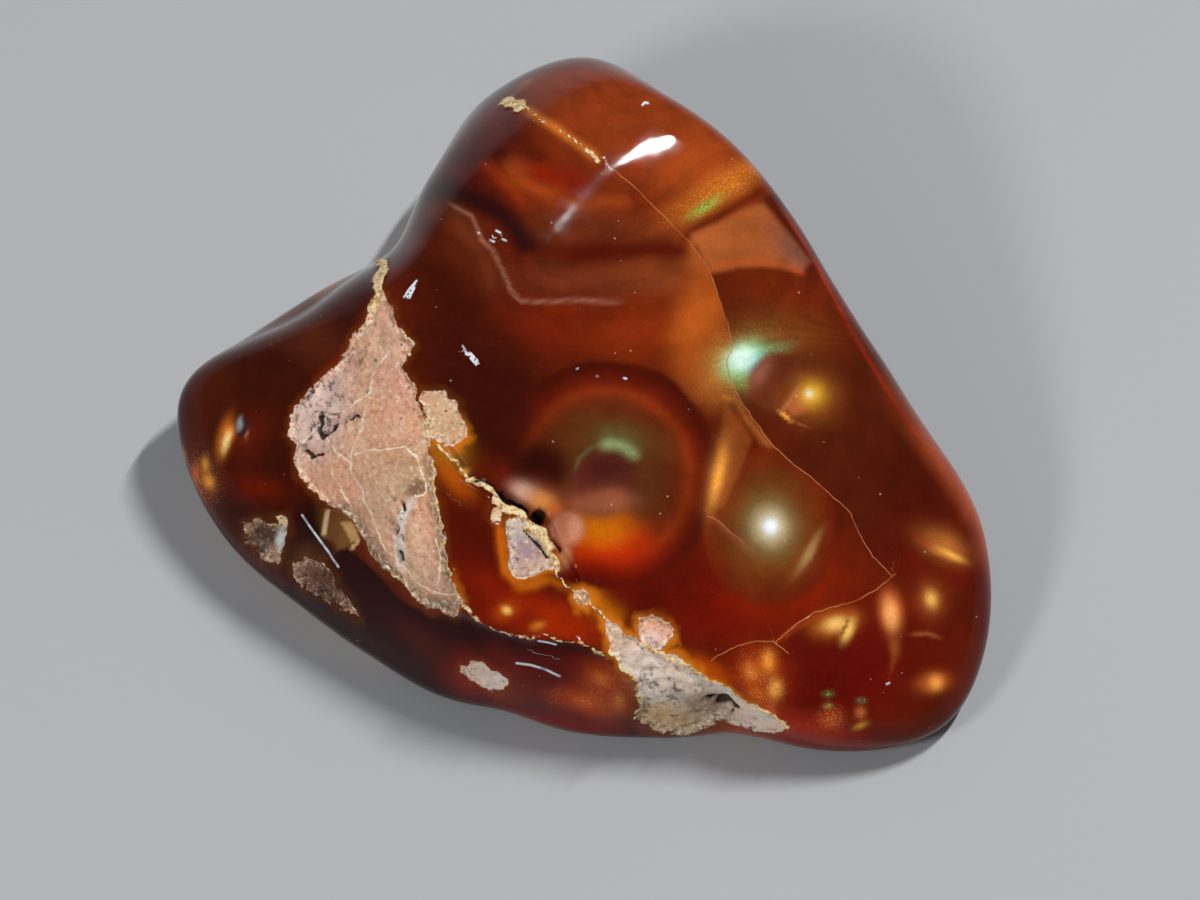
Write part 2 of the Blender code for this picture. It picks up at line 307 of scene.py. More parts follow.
# Pale lines within the host rock.
ROCK_LINES = [
    [
        (-8.75, 1.25), (-8.97, 0.2), (-9.4, -0.95), (-9.45, -1.55), (-8.97, -2.6), (-8.6, -3.5), (-8.2, -4.6),
        (-7.55, -5.35), (-6.6, -6.4), (-5.65, -6.75), (-5.0, -6.65),
    ],
    [(-9.3, -0.95), (-8.1, -0.8), (-7.05, -0.67)],
    [(-7.15, -0.75), (-6.6, -1.1), (-6.4, -1.9), (-6.25, -2.6), (-6.95, -2.85)],
    [(-5.9, -6.5), (-5.7, -5.6), (-5.9, -4.4)],
    [(-11.6, -0.6), (-10.6, 0.6), (-9.6, 0.8), (-8.7, 1.5), (-8.5, 2.4), (-7.9, 3.2)],
    [(-10.2, -1.6), (-9.9, -2.6), (-9.4, -3.2)],
    [(-10.6, -0.3), (-10.0, -1.0), (-9.45, -1.3)],
]

# Colour along lines within the host rock, as in STROKES: its sugary rims, a crumbly vein and grey veins.
ROCK_STROKES = [
    (0.34, 3, (150, 124, 100), 0.9, [
        (-10.4, -3.0), (-9.0, -4.3), (-8.3, -5.3), (-7.4, -6.4), (-6.5, -7.15), (-4.8, -7.3),
    ]),
    (0.15, 3, (160, 130, 92), 0.8, [(-6.4, -0.8), (-6.1, -2.9), (-5.6, -5.2), (-5.0, -7.1)]),
    (0.17, 3, (255, 250, 242), 0.95, [(-6.9, -2.7), (-7.4, -3.7), (-7.4, -4.5), (-7.15, -5.9)]),
    (0.2, 1.6, (158, 138, 144), 0.45, [(-11.9, -1.0), (-10.8, 0.2), (-10.4, 1.6), (-9.5, 3.4)]),
    (0.14, 1.6, (156, 132, 136), 0.5, [(-10.9, -0.6), (-10.2, 0.1), (-9.0, 0.9)]),
]  # fmt: skip

# The colour of the polished agate, and soft patches of colour in it, painted in this order. Each has its
# middle (right, up), its half sizes, its turn in degrees, how crisp its edge is, its colour (0 to 255) and
# its strength.
FACE_COLOUR = (104, 34, 15)
GLOWS = [
    # the far end
    ((1.7, 12.9), (4.6, 2.4), -20, 3, (156, 70, 34), 0.95),
    ((5.0, 11.0), (2.4, 2.2), -40, 3, (176, 84, 38), 0.9),
    ((-3.8, 12.2), (1.9, 2.0), 40, 3, (96, 26, 10), 0.85),
    ((-5.0, 9.8), (2.2, 2.0), -20, 3, (84, 18, 9), 0.9),
    ((-1.8, 10.3), (1.8, 0.8), -25, 3, (136, 50, 24), 0.7),
    ((0.6, 9.5), (3.6, 1.1), -8, 3, (124, 46, 22), 0.8),
    # the grey-brown band and the orange one below it
    ((0.4, 8.3), (3.0, 0.6), -4, 3, (122, 58, 34), 0.8),
    ((0.9, 6.1), (3.8, 0.75), 0, 3, (122, 58, 38), 0.85),
    ((3.2, 6.4), (1.6, 0.8), 0, 3, (152, 78, 44), 0.75),
    ((-5.3, 7.6), (1.2, 1.5), -20, 3, (110, 46, 22), 0.8),
    ((-0.5, 4.1), (3.0, 1.1), 0, 3, (124, 38, 14), 0.9),
    ((2.6, 4.0), (2.2, 1.2), 0, 3, (142, 52, 19), 0.9),
    ((4.9, 4.3), (1.0, 2.3), -12, 3, (196, 104, 42), 0.95),
    ((6.0, 2.5), (0.9, 1.3), -30, 3, (204, 122, 56), 0.95),
    ((5.2, 7.4), (1.1, 0.8), -30, 3, (186, 106, 52), 0.85),
    # the dark left edge of the face
    ((-5.2, 4.4), (1.9, 3.6), 15, 3, (72, 22, 12), 0.92),
    ((-3.8, 1.6), (2.4, 2.2), 30, 3, (64, 19, 11), 0.9),
    # below the eye, and the foot of the face
    ((0.9, -6.2), (3.2, 1.8), 0, 3, (104, 16, 6), 0.9),
    ((6.4, -7.0), (3.4, 1.8), 0, 3, (124, 17, 6), 0.9),
    ((3.6, -5.2), (1.8, 2.4), 0, 3, (92, 20, 9), 0.8),
    ((11.0, -9.6), (4.2, 2.6), 20, 3, (122, 22, 12), 0.9),
    ((8.9, -6.4), (2.4, 1.4), 20, 3, (150, 44, 12), 0.8),
    ((9.6, -9.2), (1.7, 1.2), -10, 3.5, (98, 18, 12), 0.9),
    ((8.2, -9.6), (0.8, 0.9), 0, 3, (70, 14, 12), 0.9),
    ((10.6, -10.2), (1.8, 1.2), 0, 3, (112, 18, 12), 0.85),
    ((8.4, -12.0), (2.4, 0.5), -14, 2.5, (206, 54, 14), 0.8),
    # between the host rock and the fissure
    ((-4.3, -4.9), (1.9, 2.9), 20, 3.5, (92, 20, 8), 0.95),
    ((-2.9, -7.0), (2.2, 0.9), -25, 3, (158, 38, 9), 0.85),
    ((-0.6, -7.9), (1.6, 0.7), -25, 3, (176, 50, 10), 0.85),
    ((-5.1, -2.0), (0.9, 0.4), -50, 2.5, (206, 104, 20), 0.85),
    ((-5.1, -0.7), (0.85, 0.65), -40, 2.5, (230, 164, 44), 0.95),
]

# Colour along lines: half width, softness of the edge, colour, strength and points.
STROKES = [
    (0.34, 2, (92, 22, 10), 0.9, [(-0.9, 7.3), (0.7, 7.25), (2.2, 7.4), (4.8, 7.55)]),
    (0.46, 2.5, (46, 16, 20), 0.92, [
        (-7.2, 9.6), (-5.2, 9.9), (-3.9, 9.35), (-3.1, 8.8), (-2.4, 8.0), (-1.9, 7.1),
    ]),
    (0.3, 2, (66, 20, 12), 0.6, [(-5.9, 11.4), (-4.2, 11.2), (-2.6, 11.5), (-1.2, 11.0)]),
    (0.2, 1.4, (176, 60, 24), 0.5, [(-4.2, 11.1), (-3.2, 10.35), (-2.6, 9.8), (-2.1, 9.0)]),
    (0.36, 1.5, (176, 84, 38), 0.7, [(-3.3, 11.1), (-1.6, 9.85), (-0.4, 9.45), (0.6, 9.4), (2.2, 9.6)]),
    (0.4, 2, (140, 30, 10), 0.8, [(-2.2, 10.8), (-1.0, 10.4), (-0.2, 10.2), (0.6, 9.9)]),
    (0.34, 1.5, (122, 66, 42), 0.45, [(-6.6, 9.0), (-5.2, 9.0), (-4.6, 8.0), (-3.9, 6.8), (-3.3, 5.7)]),
    (0.07, 2, (188, 140, 134), 0.5, [
        (-5.6, 9.5), (-4.4, 8.8), (-4.0, 7.8), (-3.5, 7.3), (-3.2, 6.65), (-2.9, 5.7), (-2.5, 5.25),
        (-1.5, 5.3), (0.2, 5.3), (1.9, 5.3),
    ]),
    (0.2, 2, (96, 26, 12), 0.9, [(4.0, 7.75), (5.2, 8.5), (6.2, 9.15), (7.8, 10.15)]),
    (0.14, 2, (224, 118, 22), 0.85, [(-3.3, -3.6), (-3.2, -4.7), (-3.1, -5.8), (-2.3, -6.45)]),
    (0.16, 2, (216, 124, 24), 0.8, [(-2.9, -6.4), (-1.8, -6.3), (-1.1, -6.0), (-0.6, -6.6)]),
    (0.32, 1.6, (208, 128, 26), 0.9, [(-0.9, -4.2), (-0.3, -5.4), (0.2, -6.3), (0.9, -7.2), (1.9, -8.0)]),
    (0.13, 2, (184, 116, 62), 0.75, [(6.2, 1.9), (6.9, 0.6), (7.6, -0.4), (8.3, -1.1)]),
]  # fmt: skip

# Areas with an outline of their own: the width of their edge in millimetres, colour, strength and outline.
# These are a bright triangle in the face, the flank right of the long crack, the tan patch on the flank,
# the lobe at the left and the front wall. Glows are painted inside all but the first.
TRIANGLE = (0.24, (160, 88, 42), 0.8, [
    (5.89, 1.33), (5.83, 0.17), (5.42, -2.03), (5.13, -3.36), (5.9, -3.17), (6.66, -1.45), (7.2, -0.4),
    (6.66, 0.46),
])  # fmt: skip
FLANK = (0.12, (96, 34, 16), 1.0, [
    (4.7, 7.6), *LONG_CRACK[4:16], (11.6, -4.2), *LONG_CRACK[17:], (18.0, -7.0), (18.0, 6.0), (9.0, 10.5),
    (7.5, 9.5),
])  # fmt: skip
FLANK_GLOWS = [
    ((9.2, 5.4), (3.6, 1.0), -25, 3, (124, 46, 18), 0.8),
    ((8.4, 4.1), (2.2, 1.0), -10, 3, (112, 54, 24), 0.85),
    ((7.7, 3.5), (1.6, 0.7), 10, 2, (166, 100, 50), 0.7),
    ((11.9, 1.2), (1.6, 3.4), -30, 3, (92, 34, 17), 0.8),
    ((13.6, -2.2), (1.8, 2.6), -20, 3, (82, 24, 13), 0.8),
    ((15.0, -6.0), (2.4, 2.4), 0, 3, (112, 22, 11), 0.85),
]
PATCH = (0.35, (184, 108, 64), 0.95, [
    (4.6, 8.1), (5.6, 8.55), (6.8, 9.1), (7.6, 9.4), (9.6, 6.9), (9.2, 6.5), (8.0, 6.75), (6.6, 6.8),
    (5.45, 6.5),
])  # fmt: skip
PATCH_GLOWS = [((9.0, 7.3), (0.5, 1.2), 35, 2, (152, 104, 104), 0.85)]
LOBE = (0.5, (72, 24, 11), 1.0, [
    (-7.6, 7.8), (-8.3, 6.4), (-9.2, 4.9), (-11.0, 2.4), (-12.1, 0.4), (-11.7, -2.2), (-9.4, -4.2),
    (-9.6, -6.2), (-12.5, -8.5), (-18.5, -5.0), (-19.0, 2.0), (-13.0, 7.0),
])  # fmt: skip
LOBE_GLOWS = [
    # a painted reflection: the lighter band along the lobe's top edge
    ((-12.0, 4.3), (5.0, 0.9), -34, 3, (104, 48, 31), 0.75),
    ((-15.9, 0.6), (0.9, 2.2), -20, 3, (96, 38, 20), 0.75),
    ((-13.4, -2.3), (1.0, 0.5), -10, 2, (134, 34, 10), 0.9),
    ((-13.7, -0.6), (1.4, 1.2), 0, 3, (78, 24, 10), 0.8),
    ((-10.9, -3.9), (0.7, 0.8), 0, 3, (36, 13, 10), 0.9),
    ((-9.8, -4.2), (0.5, 0.95), 40, 3, (168, 124, 76), 0.9),
    ((-9.6, -4.9), (0.35, 0.35), 0, 3, (212, 176, 120), 0.6),
    ((-11.3, -5.1), (0.7, 0.4), 0, 3, (92, 64, 42), 0.7),
]
# The front wall faces away from the light: its dark colour is partly the agate's own and partly painted
# shade.
WALL = (0.2, (48, 10, 7), 1.0, [
    (-9.6, -4.9), (-8.3, -5.9), (-7.2, -7.0), (-6.0, -7.6), (-4.8, -7.3), (-3.4, -8.1), (-2.0, -8.5),
    (-0.6, -8.65), (0.9, -9.1), (1.8, -10.0), (2.4, -11.5), (2.3, -14.5), (-5.0, -14.5), (-11.5, -10.0),
    (-12.5, -6.5),
])  # fmt: skip
WALL_GLOWS = [
    ((-5.6, -9.2), (2.2, 0.9), -28, 3, (64, 18, 14), 0.75),
    ((-1.6, -9.4), (2.2, 0.5), -5, 3, (50, 14, 16), 0.8),
    ((-7.9, -7.6), (1.0, 0.8), -35, 3, (58, 18, 15), 0.8),
    ((-4.0, -10.0), (1.4, 0.9), 0, 2.5, (150, 34, 12), 0.9),
    ((-2.9, -10.6), (0.6, 0.8), -20, 2.5, (150, 54, 14), 0.8),
    ((-0.3, -10.8), (2.4, 1.4), -20, 3, (126, 22, 9), 0.9),
    ((-2.2, -10.9), (0.9, 0.5), -30, 2.5, (110, 36, 16), 0.7),
    ((-6.6, -8.6), (1.0, 0.5), -40, 2.5, (92, 34, 24), 0.55),
    ((1.2, -10.5), (1.0, 0.9), -40, 2.5, (206, 84, 14), 0.9),
    ((0.4, -11.2), (1.2, 0.35), -15, 2.5, (216, 96, 22), 0.7),
    ((-1.0, -12.2), (2.6, 0.5), -6, 2.5, (140, 26, 12), 0.85),
]

# Eyes of the agate, with colours at each radius in millimetres, and the radii where the eye fades out. The
# second eye's white middle is the painted sheen of its pearl.
EYES = [
    {
        "middle": (1.1, -1.85), "stretch": (1.0, 1.0), "fade": (4.5, 4.8),
        "stops": [
            (0.0, (104, 60, 30)), (1.6, (106, 62, 32)), (2.3, (108, 56, 27)), (2.9, (110, 48, 24)),
            (3.1, (118, 50, 25)), (3.45, (144, 56, 23)), (3.85, (112, 33, 14)), (4.3, (86, 22, 11)),
            (4.9, (78, 19, 10)),
        ],
    },
    {
        "middle": (7.85, -3.95), "stretch": (0.94, 1.12), "fade": (2.75, 3.1),
        "stops": [
            (0.0, (255, 255, 255)), (0.7, (160, 140, 92)), (1.0, (128, 104, 58)),
            (1.6, (128, 76, 36)), (2.3, (124, 54, 24)), (2.8, (122, 42, 18)), (3.3, (118, 36, 15)),
        ],
    },
]  # fmt: skip

# Painted over the eyes.
EYE_GLOWS = [
    ((-3.6, -0.2), (1.8, 1.9), 20, 3, (64, 18, 11), 0.9),
    ((-3.2, -2.0), (1.2, 0.8), -35, 3, (108, 32, 12), 0.85),
    ((1.7, -0.3), (1.3, 0.55), -12, 2, (120, 104, 56), 0.45),
    # the fire below the core, a painted sheen
    ((1.3, -5.5), (1.9, 0.8), 0, 2.5, (114, 19, 6), 0.9),
    ((1.15, -4.6), (1.65, 0.85), 0, 3, (214, 56, 12), 0.9),
    ((0.85, -3.95), (1.25, 0.7), 0, 3, (228, 134, 20), 0.95),
    # the core, and the pink light in its lower part
    ((1.02, -2.1), (1.36, 1.28), 0, 9, (112, 54, 47), 1.0),
    ((1.02, -1.5), (1.15, 0.66), 0, 3, (78, 32, 31), 0.85),
    ((1.0, -2.9), (1.2, 0.42), 0, 3, (186, 118, 96), 0.88),
    # the second, smaller core and what glows below it
    ((-1.6, -1.55), (1.2, 0.95), 0, 5, (56, 15, 12), 1.0),
    ((-1.5, -2.6), (1.0, 0.5), -25, 2.5, (132, 62, 48), 0.8),
    ((-2.3, -2.5), (0.5, 0.34), -22, 2.5, (226, 192, 196), 0.95),
    ((-1.5, -2.92), (0.55, 0.36), -20, 2.5, (232, 168, 104), 0.95),
    ((-1.0, -3.2), (0.3, 0.26), 0, 2.5, (218, 118, 52), 0.8),
    ((-0.48, -3.95), (0.64, 0.7), -10, 12, (190, 130, 118), 0.95),
    ((-0.18, -3.95), (0.26, 0.52), -8, 3, (236, 182, 168), 0.75),
    ((-0.6, -5.0), (0.26, 0.5), 0, 3, (206, 152, 122), 0.85),
    ((9.4, -5.0), (0.16, 0.8), -34, 2.5, (196, 166, 122), 0.8),
    ((6.1, -4.2), (0.95, 0.09), -40, 2, (176, 112, 96), 0.45),
    ((7.4, -10.2), (1.0, 1.3), -30, 2.5, (170, 50, 12), 0.8),
    ((5.4, -9.9), (0.9, 0.35), -35, 2.5, (222, 100, 16), 0.85),
]

# The honey-coloured crystal in the lobe, as areas.
CRYSTAL = [
    (0.1, (128, 92, 62), 0.85, [
        (-10.55, -3.3), (-9.9, -3.15), (-9.2, -4.0), (-9.0, -4.6), (-9.7, -5.35), (-10.2, -4.6),
        (-10.7, -4.5),
    ]),
    (0.08, (214, 184, 146), 0.85, [(-10.0, -3.8), (-9.55, -3.75), (-9.05, -4.55), (-9.45, -4.75)]),
    (0.05, (250, 236, 208), 0.9, [(-10.45, -3.3), (-10.32, -3.3), (-10.5, -4.4), (-10.68, -4.45)]),
    (0.05, (240, 220, 190), 0.85, [(-9.75, -5.2), (-9.1, -4.55), (-9.0, -4.62), (-9.68, -5.38)]),
    (0.08, (58, 22, 14), 0.9, [(-10.1, -5.0), (-9.8, -4.95), (-9.75, -5.3), (-10.05, -5.35)]),
]  # fmt: skip

# Fire, the iridescent sheen of the agate, painted into its colour as spots and glints: middle, half sizes,
# turn, edge, colour, strength, and how much it sparkles.
FIRE = [
    # the golden band and its green end
    ((6.0, 10.1), (1.9, 0.42), 30, 2, (216, 118, 28), 0.85, 0.6),
    ((5.2, 9.25), (0.62, 0.17), 33, 2, (140, 176, 56), 0.85, 1.0),
    ((5.75, -1.75), (0.34, 1.15), -13, 2, (206, 124, 56), 0.65, 0.2),
    ((5.7, -1.95), (0.16, 0.9), -13, 2, (250, 172, 66), 0.85, 0.2),
    ((6.1, 1.3), (0.2, 0.06), -12, 2, (236, 140, 50), 0.8, 0.0),
    # the green spot with its dark orb, and the golden one
    ((6.75, 2.85), (1.15, 0.8), 35, 2, (150, 118, 50), 0.75, 0.9),
    ((5.75, 2.9), (0.36, 0.5), 0, 2, (184, 146, 58), 0.5, 1.0),
    ((8.0, 3.38), (0.55, 0.2), 8, 2, (120, 160, 96), 0.7, 1.0),
    ((6.6, 2.15), (0.5, 0.34), -20, 2, (146, 166, 76), 0.8, 1.0),
    ((6.75, 2.93), (0.86, 0.56), 35, 3, (150, 222, 140), 0.95, 0.6),
    ((7.2, 2.8), (0.44, 0.3), 50, 2.5, (126, 216, 214), 0.85, 0.2),
    ((6.68, 2.95), (0.58, 0.42), 35, 3, (232, 255, 240), 1.0, 0.0),
    ((8.14, 1.97), (1.18, 1.2), 0, 14, (116, 48, 26), 0.95, 0.0),
    ((7.5, 2.35), (0.55, 0.26), 52, 2, (176, 110, 84), 0.75, 0.0),
    ((8.7, 2.3), (0.8, 0.7), 0, 2, (80, 27, 17), 0.75, 0.0),
    ((7.7, 1.2), (0.7, 0.4), -20, 2, (92, 42, 18), 0.6, 0.0),
    ((9.55, 1.45), (0.85, 0.8), 0, 2, (176, 98, 34), 0.8, 0.1),
    ((9.05, 1.15), (0.58, 0.4), 42, 4, (200, 104, 56), 0.9, 0.0),
    ((9.6, 1.48), (0.4, 0.38), 0, 2, (255, 196, 56), 1.0, 0.1),
    ((9.48, 1.52), (0.16, 0.16), 0, 3, (255, 244, 196), 0.95, 0.0),
    ((8.47, 0.6), (0.3, 0.06), -38, 3, (255, 176, 70), 0.95, 0.0),
    # glints of the thin right end
    ((15.0, -4.75), (0.8, 0.45), -28, 2, (206, 120, 50), 0.85, 0.1),
    ((15.2, -5.15), (0.55, 0.14), -24, 2.5, (255, 190, 84), 0.95, 0.0),
    ((14.5, -7.0), (0.5, 0.62), 10, 2, (168, 74, 32), 0.9, 0.0),
    ((14.5, -7.0), (0.2, 0.28), 15, 2, (255, 192, 96), 0.95, 0.0),
    ((12.85, -7.5), (0.46, 0.85), 8, 3.5, (206, 104, 46), 0.92, 0.0),
    ((12.85, -7.6), (0.26, 0.55), 8, 3, (255, 178, 104), 0.9, 0.1),
    ((10.5, -7.95), (0.8, 0.42), 14, 2.5, (196, 112, 34), 0.92, 0.0),
    ((10.55, -7.95), (0.42, 0.24), 14, 2.5, (252, 200, 112), 0.95, 0.1),
    ((11.05, -8.25), (0.18, 0.42), -26, 2.5, (255, 200, 100), 0.95, 0.0),
    ((10.9, -8.15), (0.05, 0.4), -26, 3, (84, 24, 8), 0.9, 0.0),
    ((14.6, -10.45), (0.6, 0.36), 8, 2.5, (196, 96, 34), 0.88, 0.1),
    ((14.75, -10.45), (0.26, 0.26), 8, 2.5, (250, 164, 72), 0.9, 0.0),
    ((13.0, -8.9), (0.18, 0.36), 5, 2, (176, 92, 40), 0.75, 0.0),
    ((10.2, -10.85), (0.15, 0.09), 0, 2, (92, 130, 52), 0.8, 0.9),
    ((10.2, -11.35), (0.14, 0.09), 0, 2, (170, 150, 70), 0.8, 0.9),
    ((11.6, -11.15), (0.14, 0.08), 0, 2, (76, 118, 74), 0.8, 0.9),
    ((11.55, -11.65), (0.17, 0.2), 0, 2, (206, 112, 48), 0.8, 0.3),
    ((11.55, -12.2), (0.24, 0.1), 20, 2, (216, 150, 50), 0.8, 0.3),
    ((10.3, -11.9), (0.4, 0.34), 0, 2, (214, 84, 20), 0.75, 0.9),
    # the pearl in its eye
    ((7.85, -3.95), (0.55, 0.55), 0, 2, (196, 190, 164), 0.75, 0.0),
    ((7.85, -3.95), (0.27, 0.27), 0, 3, (240, 248, 255), 1.0, 0.0),
    # the lobe's glints
    ((-13.7, -0.3), (0.6, 0.9), -22, 2, (112, 30, 10), 0.7, 0.0),
    ((-14.75, -0.3), (0.26, 0.7), -16, 2.5, (226, 120, 34), 0.95, 0.2),
    ((-14.72, -0.5), (0.13, 0.42), -16, 3, (255, 224, 140), 1.0, 0.0),
    ((-14.1, 0.15), (0.26, 0.44), -24, 6, (44, 26, 22), 0.9, 0.0),
    ((-14.18, 0.25), (0.1, 0.26), -24, 3, (190, 188, 188), 0.8, 0.6),
    ((-13.85, -0.2), (0.06, 0.2), -10, 3, (206, 120, 80), 0.7, 0.0),
    ((-15.8, -2.1), (0.5, 0.8), 10, 2, (150, 58, 16), 0.8, 1.0),
    ((-15.65, -1.45), (0.14, 0.26), 0, 2, (232, 160, 54), 0.9, 0.2),
    ((-15.5, -2.15), (0.18, 0.26), 15, 2, (255, 168, 56), 0.95, 0.2),
    ((-16.1, -1.85), (0.13, 0.3), 0, 2, (206, 100, 28), 0.85, 0.2),
    ((-16.7, -1.35), (0.12, 0.34), 5, 2, (255, 190, 96), 0.9, 0.0),
    # golden specks between the fissure and the crest
    ((-3.0, -7.35), (0.34, 0.24), 10, 2, (214, 96, 20), 0.75, 0.0),
    ((-2.98, -7.38), (0.18, 0.13), -30, 3, (255, 206, 92), 0.95, 0.2),
    ((-1.7, -8.0), (0.22, 0.12), 10, 2, (226, 128, 34), 0.85, 0.2),
    ((-4.7, -1.7), (0.14, 0.1), 0, 2, (246, 176, 70), 0.8, 0.2),
    ((7.4, -10.3), (0.7, 1.1), 25, 3, (176, 64, 14), 0.65, 0.5),
    ((7.0, -9.9), (0.24, 0.32), 20, 2, (236, 132, 40), 0.85, 0.6),
    ((7.7, -9.5), (0.24, 0.36), 0, 2, (246, 150, 50), 0.85, 0.6),
    ((7.3, -10.8), (0.3, 0.2), -20, 2, (220, 110, 30), 0.8, 0.6),
    ((8.0, -10.6), (0.22, 0.3), 0, 2, (255, 178, 80), 0.85, 0.6),
    ((7.8, -11.4), (0.2, 0.24), 0, 2, (206, 90, 26), 0.75, 0.6),
    ((1.2, -10.9), (0.9, 0.8), -30, 3, (160, 58, 14), 0.55, 0.5),
    ((0.9, -10.3), (0.34, 0.22), -30, 2, (220, 110, 34), 0.8, 0.6),
    ((1.6, -11.2), (0.22, 0.3), 0, 2, (216, 120, 44), 0.8, 0.6),
    ((0.2, -11.2), (0.45, 0.16), -15, 2, (206, 84, 26), 0.7, 0.6),
    ((-0.9, -11.0), (0.4, 0.3), -10, 2, (150, 44, 14), 0.7, 0.5),
]

# The fire's painted sheen and other marks along lines: half width, edge, colour, strength, sparkle and
# points.
FIRE_LINES = [
    # the green crescent over the eye's core, a painted sheen of fire
    (0.34, 2, (98, 96, 50), 0.5, 0.0, [(0.5, -0.45), (1.2, -0.15), (2.0, -0.35), (2.6, -0.95)]),
    (0.07, 2, (104, 112, 70), 0.45, 0.0, [(-0.25, -1.8), (0.0, -1.15), (0.5, -0.7), (1.1, -0.52)]),
    (0.2, 2, (146, 160, 106), 1.0, 0.2, [(0.7, -0.62), (1.4, -0.55), (1.85, -0.68), (2.55, -1.2)]),
    # the amber in the far crack, the bright lower edge of the tan patch, and a painted lit edge at the right
    (0.16, 2, (214, 116, 34), 0.8, 0.3, [
        (-2.5, 13.5), (-1.9, 13.1), (-1.1, 12.55), (-0.4, 12.05), (0.95, 11.1),
    ]),
    (0.1, 2, (200, 86, 34), 0.5, 0.0, [(5.2, 6.6), (6.8, 7.0), (8.2, 6.85), (9.5, 6.4)]),
    (0.07, 2, (170, 48, 18), 0.6, 0.0, [(8.3, 9.3), (9.8, 6.9), (11.2, 4.2), (12.6, 1.8), (14.2, -0.6)]),
    # folds that edge the dark orbs of the thin right end
    (0.1, 2, (168, 66, 26), 0.5, 0.0, [(8.0, -8.8), (8.7, -8.2), (9.6, -7.75), (10.6, -7.5), (11.6, -7.6)]),
    (0.07, 2, (196, 108, 60), 0.5, 0.0, [(13.5, -8.45), (14.3, -8.4), (15.1, -8.65)]),
    (0.08, 2, (176, 78, 34), 0.4, 0.0, [(12.95, -8.4), (13.0, -9.3), (12.8, -10.2)]),
    (0.08, 2, (186, 62, 24), 0.5, 0.0, [(13.7, -4.4), (14.6, -4.9), (15.6, -5.5)]),
    (0.05, 2, (206, 136, 88), 0.6, 0.0, [(8.2, 0.6), (8.7, 1.25), (9.2, 2.05)]),
    (0.04, 2, (206, 120, 70), 0.4, 0.0, [(8.4, 0.65), (8.9, 0.35), (9.6, 0.05)]),
]

# Colours of the host rock, painted in the same way over its own colour.
ROCK_COLOUR = (232, 172, 138)
ROCK_GLOWS = [
    ((-11.0, 0.6), (1.2, 1.8), -20, 3, (250, 220, 210), 0.9),
    ((-7.6, 3.4), (0.9, 1.8), 10, 3, (202, 151, 136), 0.7),
    ((-6.9, -1.6), (0.8, 1.0), 0, 3, (200, 160, 118), 0.8),
    ((-5.9, -5.6), (0.9, 1.4), 15, 3, (210, 155, 132), 0.7),
    ((-5.5, 0.5), (1.0, 1.0), 0, 4, (207, 172, 129), 0.9),
    ((-2.1, -4.9), (1.2, 1.4), 0, 5, (176, 152, 154), 0.95),
    ((-2.7, -3.9), (0.5, 0.4), -20, 3, (226, 216, 200), 0.8),
    ((4.4, -11.0), (4.6, 2.6), -30, 5, (255, 238, 222), 0.95),
    ((2.3, -8.9), (0.9, 0.8), -30, 3, (238, 214, 200), 0.8),
    ((3.6, -12.1), (1.8, 0.6), -5, 2.5, (196, 160, 92), 0.9),
    ((5.2, -11.6), (1.2, 0.45), -30, 2, (120, 92, 66), 0.8),
    ((1.7, -8.6), (0.5, 0.6), -20, 3, (176, 150, 124), 0.7),
    ((3.1, -8.2), (0.8, 0.7), 0, 4, (232, 168, 132), 0.9),
    ((3.0, -8.6), (0.4, 0.4), 0, 3, (244, 214, 210), 0.8),
    ((0.2, -6.9), (0.5, 0.5), 0, 4, (243, 177, 106), 0.9),
    ((-13.1, -4.6), (1.0, 0.9), 0, 4, (60, 40, 31), 0.95),
    ((-12.4, -3.75), (0.3, 0.35), 0, 4, (250, 226, 166), 0.95),
    ((-12.4, -4.5), (0.25, 0.4), 0, 4, (236, 236, 236), 0.95),
    ((-3.9, -10.2), (1.1, 0.7), 0, 4, (255, 236, 226), 0.95),
    ((-3.4, -3.4), (0.4, 0.4), 0, 4, (250, 222, 170), 0.95),
    ((0.15, -6.85), (0.22, 0.2), 0, 4, (120, 96, 70), 0.85),
    ((-6.7, -2.4), (0.42, 0.34), 20, 5, (138, 104, 74), 0.95),
    ((-8.1, -2.4), (1.0, 1.6), 12, 4, (214, 172, 138), 0.7),
    ((-6.6, -4.9), (0.55, 1.5), 10, 4, (252, 204, 166), 0.8),
    ((-10.5, -6.4), (1.5, 1.0), -35, 4, (92, 58, 45), 0.95),
    ((-11.65, -5.35), (0.24, 0.24), 0, 3, (190, 150, 90), 0.9),
]

# The painted tones are deepened by these factors before the fire is laid over them.
DEEPEN = (0.82, 0.66, 0.45)

# The red light in the thin edge: its colour and strength, the share of the reach where it starts, and the
# turn of its middle and of half its span, in degrees.
RIM_GLOW = (255, 128, 74)
RIM_GLOW_STRENGTH = 0.95
RIM_GLOW_START = 0.88
RIM_GLOW_TURN = -36
RIM_GLOW_HALF_SPAN = 34

# Colours of the agate where the front view doesn't reach, in the order of its layers.
LAYER_COLOURS = [
    (64, 20, 12), (98, 34, 16), (72, 22, 12), (132, 54, 24), (84, 26, 13), (112, 40, 18), (58, 17, 11),
]  # fmt: skip
LAYER_THICKNESS = 1.5
ACROSS_LAYERS = np.array([0.25, -0.35, 0.9])

# The fine bands within the agate: their spacing in millimetres, how many finer ones go into one, the bent
# line that they run parallel to on the far half of the face, and their strength on the near half. The far
# half starts this many millimetres up, for their course and for their strength, and blends over the next.
BAND_SPACING = 1.15
FINE_BANDS = 3.3
BAND_CORNER = [
    (-7.5, 11.0), (-5.0, 8.6), (-3.5, 7.3), (-3.1, 6.0), (-2.7, 5.4), (-0.8, 5.3), (2.9, 5.2), (7.0, 6.6),
]  # fmt: skip
NEAR_BANDS = 0.12
BAND_TURN_START = 2.0
BAND_STRENGTH_START = 1.5
FAR_HALF_BLEND = 3.0
